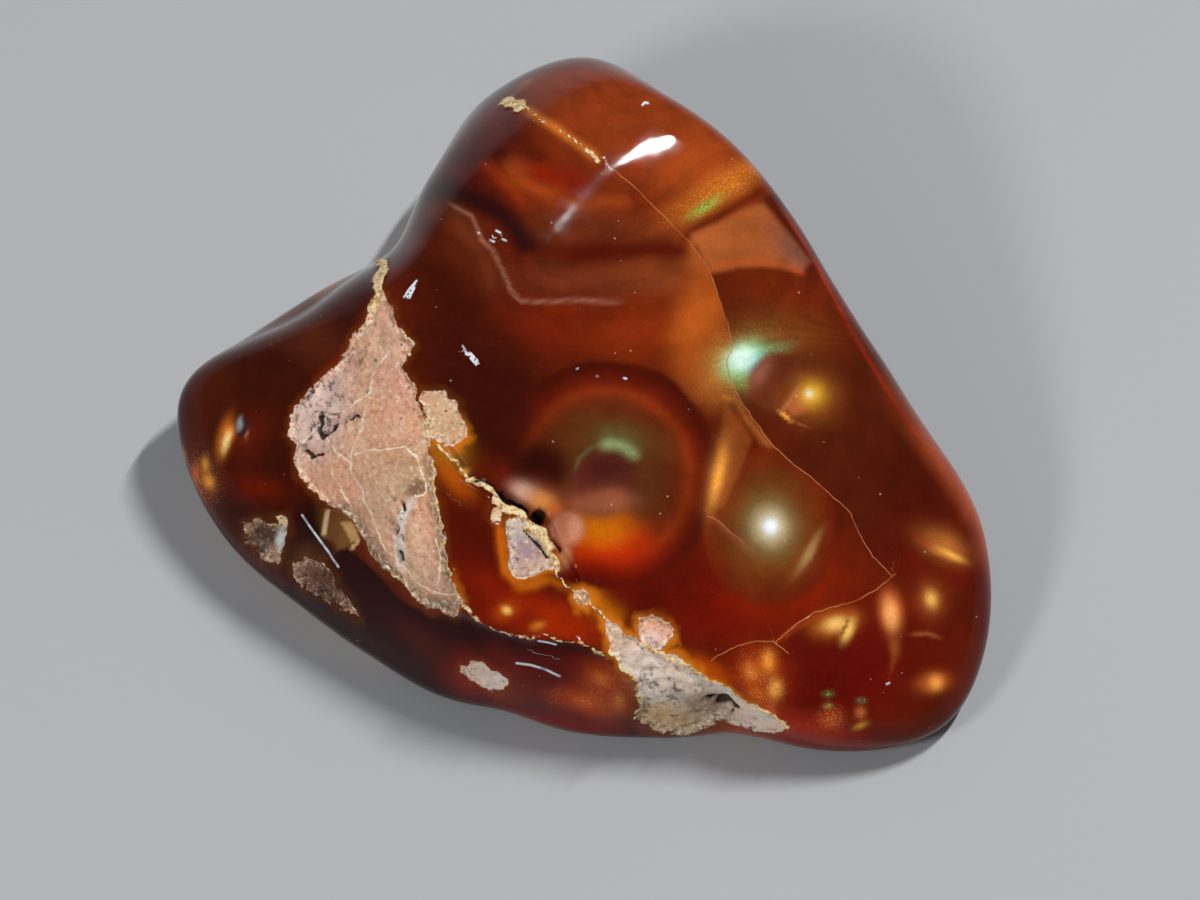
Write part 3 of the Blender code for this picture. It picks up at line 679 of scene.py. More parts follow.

# Painted fire sheen at the back and the sides: azimuth and elevation from the heart, half size in
# millimetres, and colour.
BACK_FIRE = [
    ((62, 22), 0.72, (224, 150, 64)),
    ((40, 4), 0.56, (132, 200, 110)),
    ((84, 2), 0.88, (208, 116, 44)),
    ((100, 26), 0.48, (240, 190, 100)),
    ((150, 8), 0.64, (212, 120, 44)),
    ((172, 22), 0.4, (150, 200, 110)),
    ((15, -8), 0.72, (220, 130, 52)),
    ((-12, -12), 0.4, (244, 196, 104)),
    ((128, 20), 0.56, (190, 92, 34)),
]
BACK_FIRE_STRENGTH = 0.8

# Fine lines that the shader draws: how far from their middle they end, and are at full strength, and over
# which length they fade at their ends, all in millimetres.
NICK_AND_HIGHLIGHT_WIDTHS = (0.062, 0.03)
CRACK_WIDTHS = (0.032, 0.01)
ROCK_LINE_WIDTHS = (0.055, 0.02)
LINE_END_FADE = 0.1

# The roughness of the host rock and the veins, and the height of their bump in millimetres.
ROCK_DULLNESS = 0.72
BUMP_HEIGHT = 0.16

# The studio, in metres.
FLOOR_HALF_SIZE = 0.6
LIGHT_DISTANCE = 0.3

# The photograph's frame is 50 mm wide at the heart, whose place in it is left of and above the middle.
FRAME_WIDTH = 50.0
HEART_IN_FRAME = (-0.83, 0.83)
LENS = 280.0
SENSOR = 36.0


def linear(red, green, blue):
    """A colour as linear light, from its 0 to 255 values."""
    value = np.array([red, green, blue]) / 255
    return np.where(value <= 0.04045, value / 12.92, ((value + 0.055) / 1.055) ** 2.4)


def seen_facet(turn, lean, reach):
    """A facet seen from the front: its turn round the view axis, its lean to the viewer, its reach."""
    turn, lean = math.radians(turn), math.radians(lean)
    across = math.cos(turn) * RIGHT + math.sin(turn) * UPWARD
    return (*(math.cos(lean) * across + math.sin(lean) * TO_VIEWER), reach)


def direction(azimuth, elevation):
    azimuth, elevation = math.radians(azimuth), math.radians(elevation)
    level = math.cos(elevation)
    return np.array([level * math.cos(azimuth), level * math.sin(azimuth), math.sin(elevation)])


def hidden_facet(azimuth, elevation, reach):
    """A facet at the back or underneath, by its azimuth and elevation above the table."""
    return (*direction(azimuth, elevation), reach)


FACETS = np.array([
    seen_facet(45, 76, 5.9),  # the big polished face
    seen_facet(10, 60, 9.6),  # its fall to the right
    seen_facet(262, 38, 11.8),  # the front wall
    seen_facet(180, 54, 9.9),  # the slope with the big patch of rock
    seen_facet(225, 42, 11.2),  # the low left wall
    seen_facet(127, 28, 11.6),  # the top of the left lobe
    seen_facet(100, 42, 14.0),  # the far end
    hidden_facet(90, 0, 18.5),
    hidden_facet(10, -32, 16.0),
    hidden_facet(60, -34, 15.5),
    hidden_facet(110, -34, 15.5),
    hidden_facet(155, -40, 14.0),
    hidden_facet(195, -42, 14.8),
    hidden_facet(-130, -44, 12.8),
    hidden_facet(-90, -42, 13.6),
    hidden_facet(-40, -36, 20.0),
    hidden_facet(0, -90, 6.4),
])  # fmt: skip


def outline_reach(turn):
    """The outline's reach at each angle, on a smooth closed curve through its points."""
    count = len(OUTLINE)
    place = (turn % math.tau) / math.tau * count
    before = np.floor(place).astype(int)
    share = place - before
    p0, p1, p2, p3 = (OUTLINE[(before + step) % count] for step in (-1, 0, 1, 2))
    straight = 2 * p1 + (p2 - p0) * share
    square = (2 * p0 - 5 * p1 + 4 * p2 - p3) * share**2
    cube = (3 * p1 - p0 - 3 * p2 + p3) * share**3
    return 0.5 * (straight + square + cube)


def body_reach(ways):
    """Reach of the plain polished form along unit vectors: the outline and the facets, with rounded edges."""
    across, up = ways @ RIGHT, ways @ UPWARD
    rim = np.hypot(across, up) / outline_reach(np.arctan2(up, across))
    towards = np.maximum(ways @ FACETS[:, :3].T / FACETS[:, 3], 0)
    facets = (towards**FACET_SHARPNESS).sum(1) ** (1 / FACET_SHARPNESS)
    return (facets**RIM_SHARPNESS + rim**RIM_SHARPNESS) ** (-1 / RIM_SHARPNESS)


def seen_from_front(points):
    return np.stack([points @ RIGHT, points @ UPWARD], 1)


def smooth_step(value):
    value = np.clip(value, 0, 1)
    return value * value * (3 - 2 * value)


def noise_at(points, length, shift=0.0):
    """Smooth noise from -1 to 1 whose features are about length wide."""
    return np.array([noise.noise(Vector(p / length + shift)) for p in points])


def noises_at(points, noises):
    """The sum of noises, each of a size, a length in millimetres and a seed."""
    return sum(size * noise_at(points, length, shift=seed) for size, length, seed in noises)


def shaken(picture, points, shakes):
    """Picture points, each shifted unevenly: by noise of a length, as far as a size, from two seeds."""
    for length, size, seeds in shakes:
        picture = picture + size * np.stack([noise_at(points, length, shift=seed) for seed in seeds], 1)
    return picture


def line_distance(points, line):
    """Signed distance of 2-D points from a line of straight stretches, positive on its left."""
    least = np.full(len(points), FAR)
    side = np.ones(len(points))
    for start, end in zip(line, line[1:]):
        start, along = np.array(start), np.array(end) - np.array(start)
        offset = points - start
        share = np.clip(offset @ along / (along @ along), 0, 1)
        distance = np.linalg.norm(offset - share[:, None] * along, axis=1)
        nearer = distance < least
        least = np.where(nearer, distance, least)
        side = np.where(nearer, np.sign(along[0] * offset[:, 1] - along[1] * offset[:, 0]), side)
    return least * side


def depth_inside(points, outline):
    """How far 2-D points lie inside a closed outline; negative outside it."""
    inside = np.zeros(len(points), bool)
    for (x0, y0), (x1, y1) in zip(outline, outline[1:] + outline[:1]):
        if y0 == y1:
            continue
        spans = (points[:, 1] > y0) != (points[:, 1] > y1)
        crossing = x0 + (points[:, 1] - y0) / (y1 - y0) * (x1 - x0)
        inside ^= spans & (points[:, 0] < crossing)
    distance = np.abs(line_distance(points, outline + outline[:1]))
    return np.where(inside, distance, -distance)


def within_ends(points, line):
    """How far 2-D points lie from a line's nearer end, measured along it; negative beyond its ends."""
    line = np.array(line)
    first, last = line[1] - line[0], line[-2] - line[-1]
    after_start = (points - line[0]) @ first / np.linalg.norm(first)
    before_end = (points - line[-1]) @ last / np.linalg.norm(last)
    near_start = np.linalg.norm(points - line[0], axis=1) < np.linalg.norm(points - line[-1], axis=1)
    return np.clip(np.where(near_start, after_start, before_end), -1, 1)


def nearest_line(points, lines):
    """The signed distance from whichever line is nearest, and how far within its ends that is."""
    nearest, within = np.full(len(points), FAR), np.full(len(points), -1.0)
    for line in lines:
        distance = line_distance(points, line)
        nearer = np.abs(distance) < np.abs(nearest)
        nearest = np.where(nearer, distance, nearest)
        within = np.where(nearer, within_ends(points, line), within)
    return nearest, within


def soft_spot(points, middle, half_sizes, turn, edge):
    """1 in the middle of an ellipse, a half on its outline, and 0 well outside it."""
    turn = math.radians(turn)
    offset = points - np.array(middle)
    along = (offset @ (math.cos(turn), math.sin(turn))) / half_sizes[0]
    across = (offset @ (-math.sin(turn), math.cos(turn))) / half_sizes[1]
    return 0.5 ** (np.hypot(along, across) ** edge)


def line_mask(points, half_width, edge, line):
    """1 along the middle of a line, a half at half_width from it, and fading out at its ends."""
    beside = 0.5 ** ((np.abs(line_distance(points, line)) / half_width) ** edge)
    return beside * smooth_step((within_ends(points, line) + STROKE_OVERSHOOT) / STROKE_END_FADE)


def area_mask(points, outline, edge):
    """1 inside a closed outline and 0 outside it, with an edge of this width in millimetres."""
    return smooth_step(depth_inside(points, outline) / edge + 0.5)


class Surface:
    """The points of the stone's surface with what is measured on them."""

    def __init__(self, ways):
        self.ways = ways
        self.plain = ways * body_reach(ways)[:, None]
        self.picture = seen_from_front(self.plain)
        self.front = smooth_step((ways @ TO_VIEWER + FRONT_LEAN) / FRONT_BLEND)
        self.ragged_picture = self.picture

    def make_ragged(self):
        """Shifts the points that the host rock is drawn at, so that its outlines are ragged."""
        self.ragged_picture = shaken(self.picture, self.plain, RAGGED)

    def on_front(self, distance):
        """A distance that holds on the front and says well outside elsewhere."""
        return -DEEP + (distance + DEEP) * self.front

    def angle_from(self, azimuth, elevation):
        return np.arccos(np.clip(self.ways @ direction(azimuth, elevation), -1, 1))

    def rock_depth(self):
        depth = np.full(len(self.ways), -DEEP)
        for outline in ROCKS.values():
            inside = np.maximum(depth_inside(self.ragged_picture, outline), -DEEP)
            depth = np.maximum(depth, self.on_front(inside))
        reach = np.linalg.norm(self.plain, axis=1)
        ragged = noises_at(self.plain, HIDDEN_ROCK_NOISES)
        for azimuth, elevation, half_angle in (UNDER_ROCK, BACK_ROCK):
            inside = (math.radians(half_angle) - self.angle_from(azimuth, elevation)) * reach
            depth = np.maximum(depth, inside + ragged - FRONT_CLEARANCE * self.front)
        return np.clip(depth, -DEEP, DEEP)

    def strip_depth(self, strips):
        """How far inside the nearest strip each point lies, for strips that lie on the front."""
        depth = np.full(len(self.ways), -DEEP)
        for half_width, line in strips:
            depth = np.maximum(depth, half_width - np.abs(line_distance(self.ragged_picture, line)))
        return self.on_front(depth)

    def lines_on_front(self, lines):
        """Distance from the nearest line, and how far within its ends, for lines that lie on the front."""
        distance, within = nearest_line(self.picture, lines)
        return distance, self.on_front(within)

    def strongest_spot(self, spots, least=0.0):
        """The strength of the strongest soft spot at each point of the front."""
        strongest = np.full(len(self.ways), least)
        for middle, half_sizes, turn, strength in spots:
            spot = soft_spot(self.picture, middle, half_sizes, turn, 3)
            strongest = np.maximum(strongest, strength * spot)
        return strongest * self.front

    def far_half(self, start):
        """0 on the near half of the face and 1 on its far half, which starts this far up."""
        return smooth_step((self.picture[:, 1] - start) / FAR_HALF_BLEND)

    def band_phase(self):
        """Counts the fine bands, which run across the far half of the face and round the eye."""
        eye = np.linalg.norm(self.picture - np.array(EYES[0]["middle"]), axis=1) - EYES[0]["fade"][1]
        corner = line_distance(self.picture, BAND_CORNER)
        seen = eye + (corner - eye) * self.far_half(BAND_TURN_START)
        layers = self.plain @ ACROSS_LAYERS
        bent = layers + (seen - layers) * self.front + noises_at(self.plain, BAND_NOISES)
        return bent / BAND_SPACING

    def band_strength(self):
        """The bands show on the far half and the hidden sides, and hardly at all round the eyes."""
        seen = NEAR_BANDS + (1 - NEAR_BANDS) * self.far_half(BAND_STRENGTH_START)
        patchy = 0.6 + 0.6 * noise_at(self.plain, 3.5, shift=47.0)
        return np.clip(patchy, 0, 1) * (1 + (seen - 1) * self.front)

    def pitting(self):
        """Where the host rock is pitted and black-specked: 0 to 1."""
        return self.strongest_spot(PITTED_ROCK)


def rock_roughness(surface):
    """Height of the bare rock's lumps: low where it has been ground flat, full elsewhere."""
    ground = np.zeros(len(surface.ways))
    for middle, half_sizes, turn in GROUND_ROCK:
        ground = np.maximum(ground, soft_spot(surface.picture, middle, half_sizes, turn, 4))
    ground *= 1 - surface.pitting()
    return ROCK_ROUGH * (1 - GROUND_SHARE * ground * surface.front)


def relief(surface, rock_depth, vein_depth, gap_depth):
    """Height of the surface over the plain form, in millimetres."""
    points, picture, front = surface.plain, surface.picture, surface.front
    height = WAVE_HEIGHT * noise_at(points, WAVE_LENGTH)
    rock = smooth_step(rock_depth / ROCK_EDGE)
    height += rock * (rock_roughness(surface) * noises_at(points, ROCK_NOISES) - ROCK_SINK)
    crumbly = 1 + noise_at(points, VEIN_GRAIN, shift=11.0)
    height += VEIN_LIFT * smooth_step(vein_depth / VEIN_EDGE + 0.5) * crumbly
    height -= GAP_DEPTH * smooth_step(gap_depth / GAP_EDGE + 0.6)
    fissure = line_distance(picture, FISSURE) / FISSURE_HALF_WIDTH
    height -= front * FISSURE_DEPTH * np.exp(-((fissure - FISSURE_SIDE) ** 2))
    crest = line_distance(picture, CREST) / RIDGE_HALF_WIDTH
    height += front * RIDGE_HEIGHT * np.exp(-(crest**2))
    for across, up, radius, depth in HOLLOWS:
        away = np.linalg.norm(picture - (across, up), axis=1) / radius
        height -= front * depth * np.exp(-(away**2))
    return height


def lay_over(colours, mask, colour):
    """Mixes a colour into the colours, by the mask."""
    return colours + (np.asarray(colour) - colours) * mask[:, None]


def paint_glows(colours, picture, glows, within=1.0):
    for middle, half_sizes, turn, edge, colour, strength in glows:
        mask = within * strength * soft_spot(picture, middle, half_sizes, turn, edge)
        colours = lay_over(colours, mask, linear(*colour))
    return colours


def paint_strokes(colours, picture, strokes):
    for half_width, edge, colour, strength, line in strokes:
        mask = strength * line_mask(picture, half_width, edge, line)
        colours = lay_over(colours, mask, linear(*colour))
    return colours


def paint_area(colours, picture, area, glows=(), outline_at=None):
    """Fills an area and paints glows inside it. Its outline is drawn at other points where they are given."""
    edge, colour, strength, outline = area
    mask = area_mask(picture if outline_at is None else outline_at, outline, edge)
    colours = lay_over(colours, strength * mask, linear(*colour))
    return paint_glows(colours, picture, glows, within=mask)


def paint_eyes(colours, picture):
    for eye in EYES:
        offset = (picture - np.array(eye["middle"])) / np.array(eye["stretch"])
        radius = np.hypot(offset[:, 0], offset[:, 1])
        radii = [stop[0] for stop in eye["stops"]]
        tones = np.array([linear(*stop[1]) for stop in eye["stops"]])
        rings = np.stack([np.interp(radius, radii, tones[:, channel]) for channel in range(3)], 1)
        inner, outer = eye["fade"]
        colours = lay_over(colours, smooth_step((outer - radius) / (outer - inner)), rings)
    return colours


def paint_rim(colours, surface):
    """The thin edge at the right and below glows red, where light gets through it."""
    across, up = surface.picture[:, 0], surface.picture[:, 1]
    turn = np.arctan2(up, across)
    nearness = np.hypot(across, up) / outline_reach(turn)
    away = np.abs(turn - math.radians(RIM_GLOW_TURN)) / math.radians(RIM_GLOW_HALF_SPAN)
    mask = smooth_step((nearness - RIM_GLOW_START) / (1 - RIM_GLOW_START)) * smooth_step(1.5 - away)
    return lay_over(colours, RIM_GLOW_STRENGTH * mask, linear(*RIM_GLOW))


def paint_face(surface):
    """The agate's colours as they are seen from the front, without the fire."""
    # Wandering a little from the straight outlines makes every edge natural.
    picture = shaken(surface.picture, surface.plain, WANDER)
    colours = np.tile(linear(*FACE_COLOUR), (len(picture), 1))
    colours = paint_glows(colours, picture, GLOWS)
    colours = paint_strokes(colours, picture, STROKES)
    colours = paint_eyes(colours, picture)
    colours = paint_area(colours, picture, TRIANGLE)
    colours = paint_glows(colours, picture, EYE_GLOWS)
    # The flank's outline stays where it is, because the long crack follows it.
    colours = paint_area(colours, picture, FLANK, FLANK_GLOWS, outline_at=surface.picture)
    colours = paint_area(colours, picture, PATCH, PATCH_GLOWS)
    colours = paint_area(colours, picture, LOBE, LOBE_GLOWS)
    for area in CRYSTAL:
        colours = paint_area(colours, picture, area)
    colours = paint_area(colours, picture, WALL, WALL_GLOWS)
    return paint_rim(colours, surface) * np.array(DEEPEN)


def paint_fire(colours, surface):
    """Lays the painted sheen of the fire over the colours, and says how much it sparkles at each point."""
    sparkle = np.zeros(len(colours))
    masks = [
        (strength * soft_spot(surface.picture, middle, half_sizes, turn, edge), colour, glitter)
        for middle, half_sizes, turn, edge, colour, strength, glitter in FIRE
    ]
    masks += [
        (strength * line_mask(surface.picture, half_width, edge, line), colour, glitter)
        for half_width, edge, colour, strength, glitter, line in FIRE_LINES
    ]
    for mask, colour, glitter in masks:
        colours = lay_over(colours, mask, linear(*colour))
        sparkle = np.maximum(sparkle * (1 - mask), glitter * mask)
    return colours, sparkle


def paint_hidden_sides(surface):
    """The agate's own layers with some painted fire sheen in them, for the back, the sides and below."""
    points = surface.plain
    tones = np.array([linear(*colour) for colour in LAYER_COLOURS])
    place = (points @ ACROSS_LAYERS + noises_at(points, LAYER_NOISES)) / LAYER_THICKNESS
    before = np.floor(place).astype(int)
    share = smooth_step(place - before)[:, None]
    count = len(tones)
    layers = tones[before % count] * (1 - share) + tones[(before + 1) % count] * share
    uneven = 1 + 0.6 * noise_at(points, 0.7, shift=61.0)
    for (azimuth, elevation), half_size, colour in BACK_FIRE:
        away = uneven * surface.angle_from(azimuth, elevation) * np.linalg.norm(points, axis=1)
        mask = BACK_FIRE_STRENGTH * 0.5 ** ((away / half_size) ** 2)
        layers = lay_over(layers, mask, linear(*colour))
    return layers


def paint_agate(surface):
    """The colour of the agate at each point, and how much it sparkles there."""
    colours, sparkle = paint_fire(paint_face(surface), surface)
    shown = surface.front[:, None]
    return paint_hidden_sides(surface) * (1 - shown) + colours * shown, sparkle * surface.front


def paint_rock(surface):
    colours = np.tile(linear(*ROCK_COLOUR), (len(surface.ways), 1))
    colours = paint_glows(colours, surface.picture, ROCK_GLOWS, within=surface.front)
    painted = paint_strokes(colours, surface.ragged_picture, ROCK_STROKES)
    return lay_over(colours, surface.front, painted)


def ways_of(bm):
    ways = np.array([v.co for v in bm.verts], float)
    return ways / np.linalg.norm(ways, axis=1)[:, None]


def longest_edges(surface):
    """How long an edge may be at each point: short on the front, and shortest round its rough places."""
    rough = np.full(len(surface.ways), -FAR)
    for outline in ROCKS.values():
        rough = np.maximum(rough, depth_inside(surface.picture, outline))
    for line in (FISSURE, CREST):
        rough = np.maximum(rough, ROUGH_HALF_WIDTH - np.abs(line_distance(surface.picture, line)))
    in_front = surface.front > SEEN_SHARE
    limit = np.where(in_front, FINE_EDGE, COARSE_EDGE)
    return np.where(in_front & (rough > -ROUGH_MARGIN), ROUGH_EDGE, limit)


def refined_sphere():
    """A sphere whose edges are short enough once it is pushed out to the stone's surface."""
    bm = bmesh.new()
    bmesh.ops.create_icosphere(bm, subdivisions=SPHERE_SUBDIVISIONS, radius=1)
    for _ in range(REFINING_PASSES):
        surface = Surface(ways_of(bm))
        bm.verts.index_update()
        bm.edges.ensure_lookup_table()
        ends = np.array([(e.verts[0].index, e.verts[1].index) for e in bm.edges])
        length = np.linalg.norm(surface.plain[ends[:, 0]] - surface.plain[ends[:, 1]], axis=1)
        long = np.nonzero(length > longest_edges(surface)[ends].max(1))[0]
        if not len(long):
            break
        bmesh.ops.subdivide_edges(bm, edges=[bm.edges[i] for i in long], cuts=1)
        bmesh.ops.triangulate(bm, faces=[f for f in bm.faces if len(f.verts) > 3])
    return bm


def flatten_base(points):
    """Draws what would lie below the base up onto it, along its own direction."""
    low = points[:, 2] < -HEART_HEIGHT
    points[low] *= (-HEART_HEIGHT / points[low, 2])[:, None]
    return points


def add_values(mesh, name, values):
    attribute = mesh.attributes.new(name, "FLOAT", "POINT")
    attribute.data.foreach_set("value", values.astype(np.float32))


def add_colours(mesh, name, colours):
    attribute = mesh.attributes.new(name, "FLOAT_COLOR", "POINT")
    with_alpha = np.concatenate([colours, np.ones((len(colours), 1))], 1)
    attribute.data.foreach_set("color", with_alpha.astype(np.float32).ravel())


def build_stone(low, high):
    """The stone between the solid's lowest and highest corners, and where its heart is."""
    bm = refined_sphere()
    surface = Surface(ways_of(bm))
    surface.make_ragged()
    rock, vein, gap = surface.rock_depth(), surface.strip_depth(VEINS), surface.strip_depth(GAPS)
    for vertex, place in zip(bm.verts, surface.plain):
        vertex.co = Vector(place)
    bm.normal_update()
    normals = np.array([v.normal for v in bm.verts])
    points = flatten_base(surface.plain + normals * relief(surface, rock, vein, gap)[:, None])
    middle = (points.min(0) + points.max(0)) / 2
    heart = Vector((
        (low.x + high.x) / 2 - middle[0] * MM,
        (low.y + high.y) / 2 - middle[1] * MM,
        HEART_HEIGHT * MM,
    ))  # fmt: skip
    for vertex, place in zip(bm.verts, points):
        vertex.co = heart + Vector(place) * MM
    bmesh.ops.recalc_face_normals(bm, faces=bm.faces)
    mesh = bpy.data.meshes.new("fire_agate_stone")
    bm.to_mesh(mesh)
    bm.free()
    mesh.shade_smooth()
    colours, sparkle = paint_agate(surface)
    add_colours(mesh, "agate_colour", colours)
    add_colours(mesh, "rock_colour", paint_rock(surface))
    measures = {
        "sparkle": sparkle,
        "band_phase": surface.band_phase(),
        "band_strength": surface.band_strength(),
        "pitting": surface.pitting(),
        "amber": surface.strongest_spot(AMBER, least=LEAST_AMBER),
        "rock_depth": rock,
        "vein_depth": vein,
        "gap_depth": gap,
    }
    for name, lines in (("crack", CRACKS), ("nick_and_highlight", NICKS_AND_HIGHLIGHTS), ("rock_line", ROCK_LINES)):
        measures[name + "_distance"], measures[name + "_within"] = surface.lines_on_front(lines)
    for name, values in measures.items():
        add_values(mesh, name, values)
    stone = bpy.data.objects.new("fire_agate_stone", mesh)
    bpy.context.scene.collection.objects.link(stone)
    print("stone:", len(mesh.polygons), "triangles")
    return stone, heart


class Graph:
    """Short ways to make and join shader nodes. Lengths are in millimetres."""

    def __init__(self, material):
        material.use_nodes = True
        self.tree = material.node_tree
        self.shader = self.tree.nodes["Principled BSDF"]
        self.where = self.node("ShaderNodeTexCoord").outputs["Object"]

    def node(self, kind, inputs=(), **settings):
        made = self.tree.nodes.new(kind)
        for name, value in settings.items():
            setattr(made, name, value)
        for key, value in dict(inputs).items():
            self.set(made.inputs[key], value)
        return made

    def set(self, socket, value):
        if isinstance(value, bpy.types.NodeSocket):
            self.tree.links.new(value, socket)
        else:
            socket.default_value = value

    def attribute(self, name, output="Fac"):
        return self.node("ShaderNodeAttribute", attribute_name=name).outputs[output]

    def compute(self, operation, *values):
        return self.node("ShaderNodeMath", dict(enumerate(values)), operation=operation).outputs[0]

    def times(self, first, second):
        return self.compute("MULTIPLY", first, second)

    def plus(self, first, second):
        return self.compute("ADD", first, second)

    def fit(self, value, low, high, to_low=0.0, to_high=1.0):
        inputs = {"Value": value, "From Min": low, "From Max": high, "To Min": to_low, "To Max": to_high}
        return self.node("ShaderNodeMapRange", inputs, interpolation_type="SMOOTHSTEP").outputs[0]

    def mix(self, share, first, second, blend="MIX"):
        inputs = {0: share, 6: first, 7: second}
        return self.node("ShaderNodeMix", inputs, data_type="RGBA", blend_type=blend).outputs[2]

    def noise(self, length, detail, roughness=0.5):
        scale = 1 / (length * MM)
        inputs = {"Vector": self.where, "Scale": scale, "Detail": detail, "Roughness": roughness}
        return self.node("ShaderNodeTexNoise", inputs).outputs[0]

    def cells(self, length):
        """Distance from the middle of the nearest cell, as a share of this length."""
        inputs = {"Vector": self.where, "Scale": 1 / (length * MM)}
        return self.node("ShaderNodeTexVoronoi", inputs).outputs["Distance"]

    def shake(self, size, length, detail, roughness=0.5):
        """Noise around 0, of this size, with features of this length."""
        return self.times(self.compute("SUBTRACT", self.noise(length, detail, roughness), 0.5), size)

    def line(self, name, wobble, widths):
        """1 on the lines of the named attributes and 0 beside them, and fading out at their ends."""
        way = self.plus(self.attribute(name + "_distance"), wobble)
        beside = self.fit(self.compute("ABSOLUTE", way), *widths)
        return self.times(beside, self.fit(self.attribute(name + "_within"), 0.0, LINE_END_FADE))


def rgb(red, green, blue):
    return (*linear(red, green, blue), 1.0)


def agate_nodes(graph):
    """The polished agate's colour, and where its hairline cracks are."""
    # Clouds, and fine layers in two spacings.
    agate = graph.attribute("agate_colour", "Color")
    clouds = graph.fit(graph.noise(2.2, 4, 0.6), 0.3, 0.7, 0.82, 1.18)
    shade = graph.times(clouds, graph.fit(graph.noise(0.12, 3, 0.6), 0.3, 0.7, 0.93, 1.07))
    phase = graph.attribute("band_phase")
    wide = graph.compute("SINE", graph.times(phase, math.tau))
    fine = graph.compute("SINE", graph.times(phase, math.tau * FINE_BANDS))
    bands = graph.plus(graph.times(wide, 0.11), graph.times(fine, 0.04))
    bands = graph.times(bands, graph.attribute("band_strength"))
    shade = graph.times(shade, graph.plus(bands, 1.0))
    grey = graph.node("ShaderNodeCombineColor", {0: shade, 1: shade, 2: shade}).outputs[0]
    agate = graph.mix(1.0, agate, grey, "MULTIPLY")

    # Painted glints where the fire sparkles, with pits between.
    sparkle = graph.attribute("sparkle")
    glitter = graph.times(sparkle, graph.fit(graph.cells(0.10), 0.45, 0.0))
    agate = graph.mix(graph.times(glitter, 0.75), agate, rgb(255, 240, 190), "SCREEN")
    pits = graph.times(sparkle, graph.fit(graph.noise(0.16, 2), 0.45, 0.35))
    agate = graph.mix(graph.times(pits, 0.55), agate, rgb(96, 60, 24))

    # Dust specks of uneven size.
    speck_size = graph.fit(graph.noise(1.6, 2), 0.40, 0.62, 0.0, 0.085)
    specks = graph.fit(graph.cells(0.75), speck_size, 0.0)
    agate = graph.mix(graph.times(specks, 0.7), agate, rgb(222, 196, 180))

    # Silvery nicks, and painted highlights where the lamps are reflected on small edges.
    nick_and_highlight = graph.line("nick_and_highlight", 0.0, NICK_AND_HIGHLIGHT_WIDTHS)
    nick_and_highlight = graph.times(nick_and_highlight, graph.fit(graph.noise(0.60, 2), 0.38, 0.50, 0.45, 0.95))
    agate = graph.mix(nick_and_highlight, agate, rgb(226, 230, 236))

    # Hairline cracks.
    crack = graph.line("crack", graph.shake(0.16, 0.5, 3), CRACK_WIDTHS)
    crack = graph.times(crack, graph.fit(graph.noise(1.2, 2), 0.3, 0.6, 0.35, 0.9))
    return graph.mix(crack, agate, rgb(190, 116, 66)), crack


def rock_nodes(graph, rock_way, grain, pale):
    """The host rock's colour, from how deep inside it a point is, its grain, and how pale it may get."""
    pitting = graph.attribute("pitting")
    # Paler lumps, which are partly painted highlights on the rough rock, then darker and paler grains.
    lumps = graph.noise(1.6, 5, 0.6)
    light = graph.times(graph.fit(lumps, 0.42, 0.62, 0.0, 0.5), pale)
    rock = graph.mix(light, graph.attribute("rock_colour", "Color"), rgb(236, 196, 162))
    rock = graph.mix(graph.fit(grain, 0.5, 0.3, 0.0, 0.5), rock, rgb(150, 96, 72))
    light = graph.times(graph.fit(grain, 0.54, 0.70, 0.0, 0.7), pale)
    rock = graph.mix(light, rock, rgb(250, 226, 204))

    # Black specks and pits.
    specks = graph.times(graph.fit(graph.cells(0.55), 0.16, 0.08), graph.fit(lumps, 0.5, 0.62))
    pits = graph.times(pitting, graph.fit(graph.noise(0.45, 4, 0.7), 0.47, 0.38))
    dark = graph.times(graph.compute("MAXIMUM", specks, pits), 0.8)
    rock = graph.mix(dark, rock, rgb(52, 40, 38))

    # Pale lines, broken in places.
    broken = graph.fit(graph.noise(0.4, 3), 0.36, 0.56, 0.35, 1.0)
    pale_line = graph.times(graph.line("rock_line", graph.shake(0.55, 0.7, 4, 0.6), ROCK_LINE_WIDTHS), broken)
    rock = graph.mix(pale_line, rock, rgb(255, 236, 208))

    # Bright and dark crumbs along the edge.
    edge = graph.fit(rock_way, 0.42, 0.05)
    crumbs = graph.noise(0.20, 4, 0.7)
    bright = graph.times(graph.times(edge, pale), graph.fit(crumbs, 0.50, 0.62))
    rock = graph.mix(bright, rock, rgb(252, 232, 206))
    dark = graph.times(edge, graph.fit(crumbs, 0.46, 0.34, 0.0, 0.8))
    return graph.mix(dark, rock, rgb(78, 52, 38))


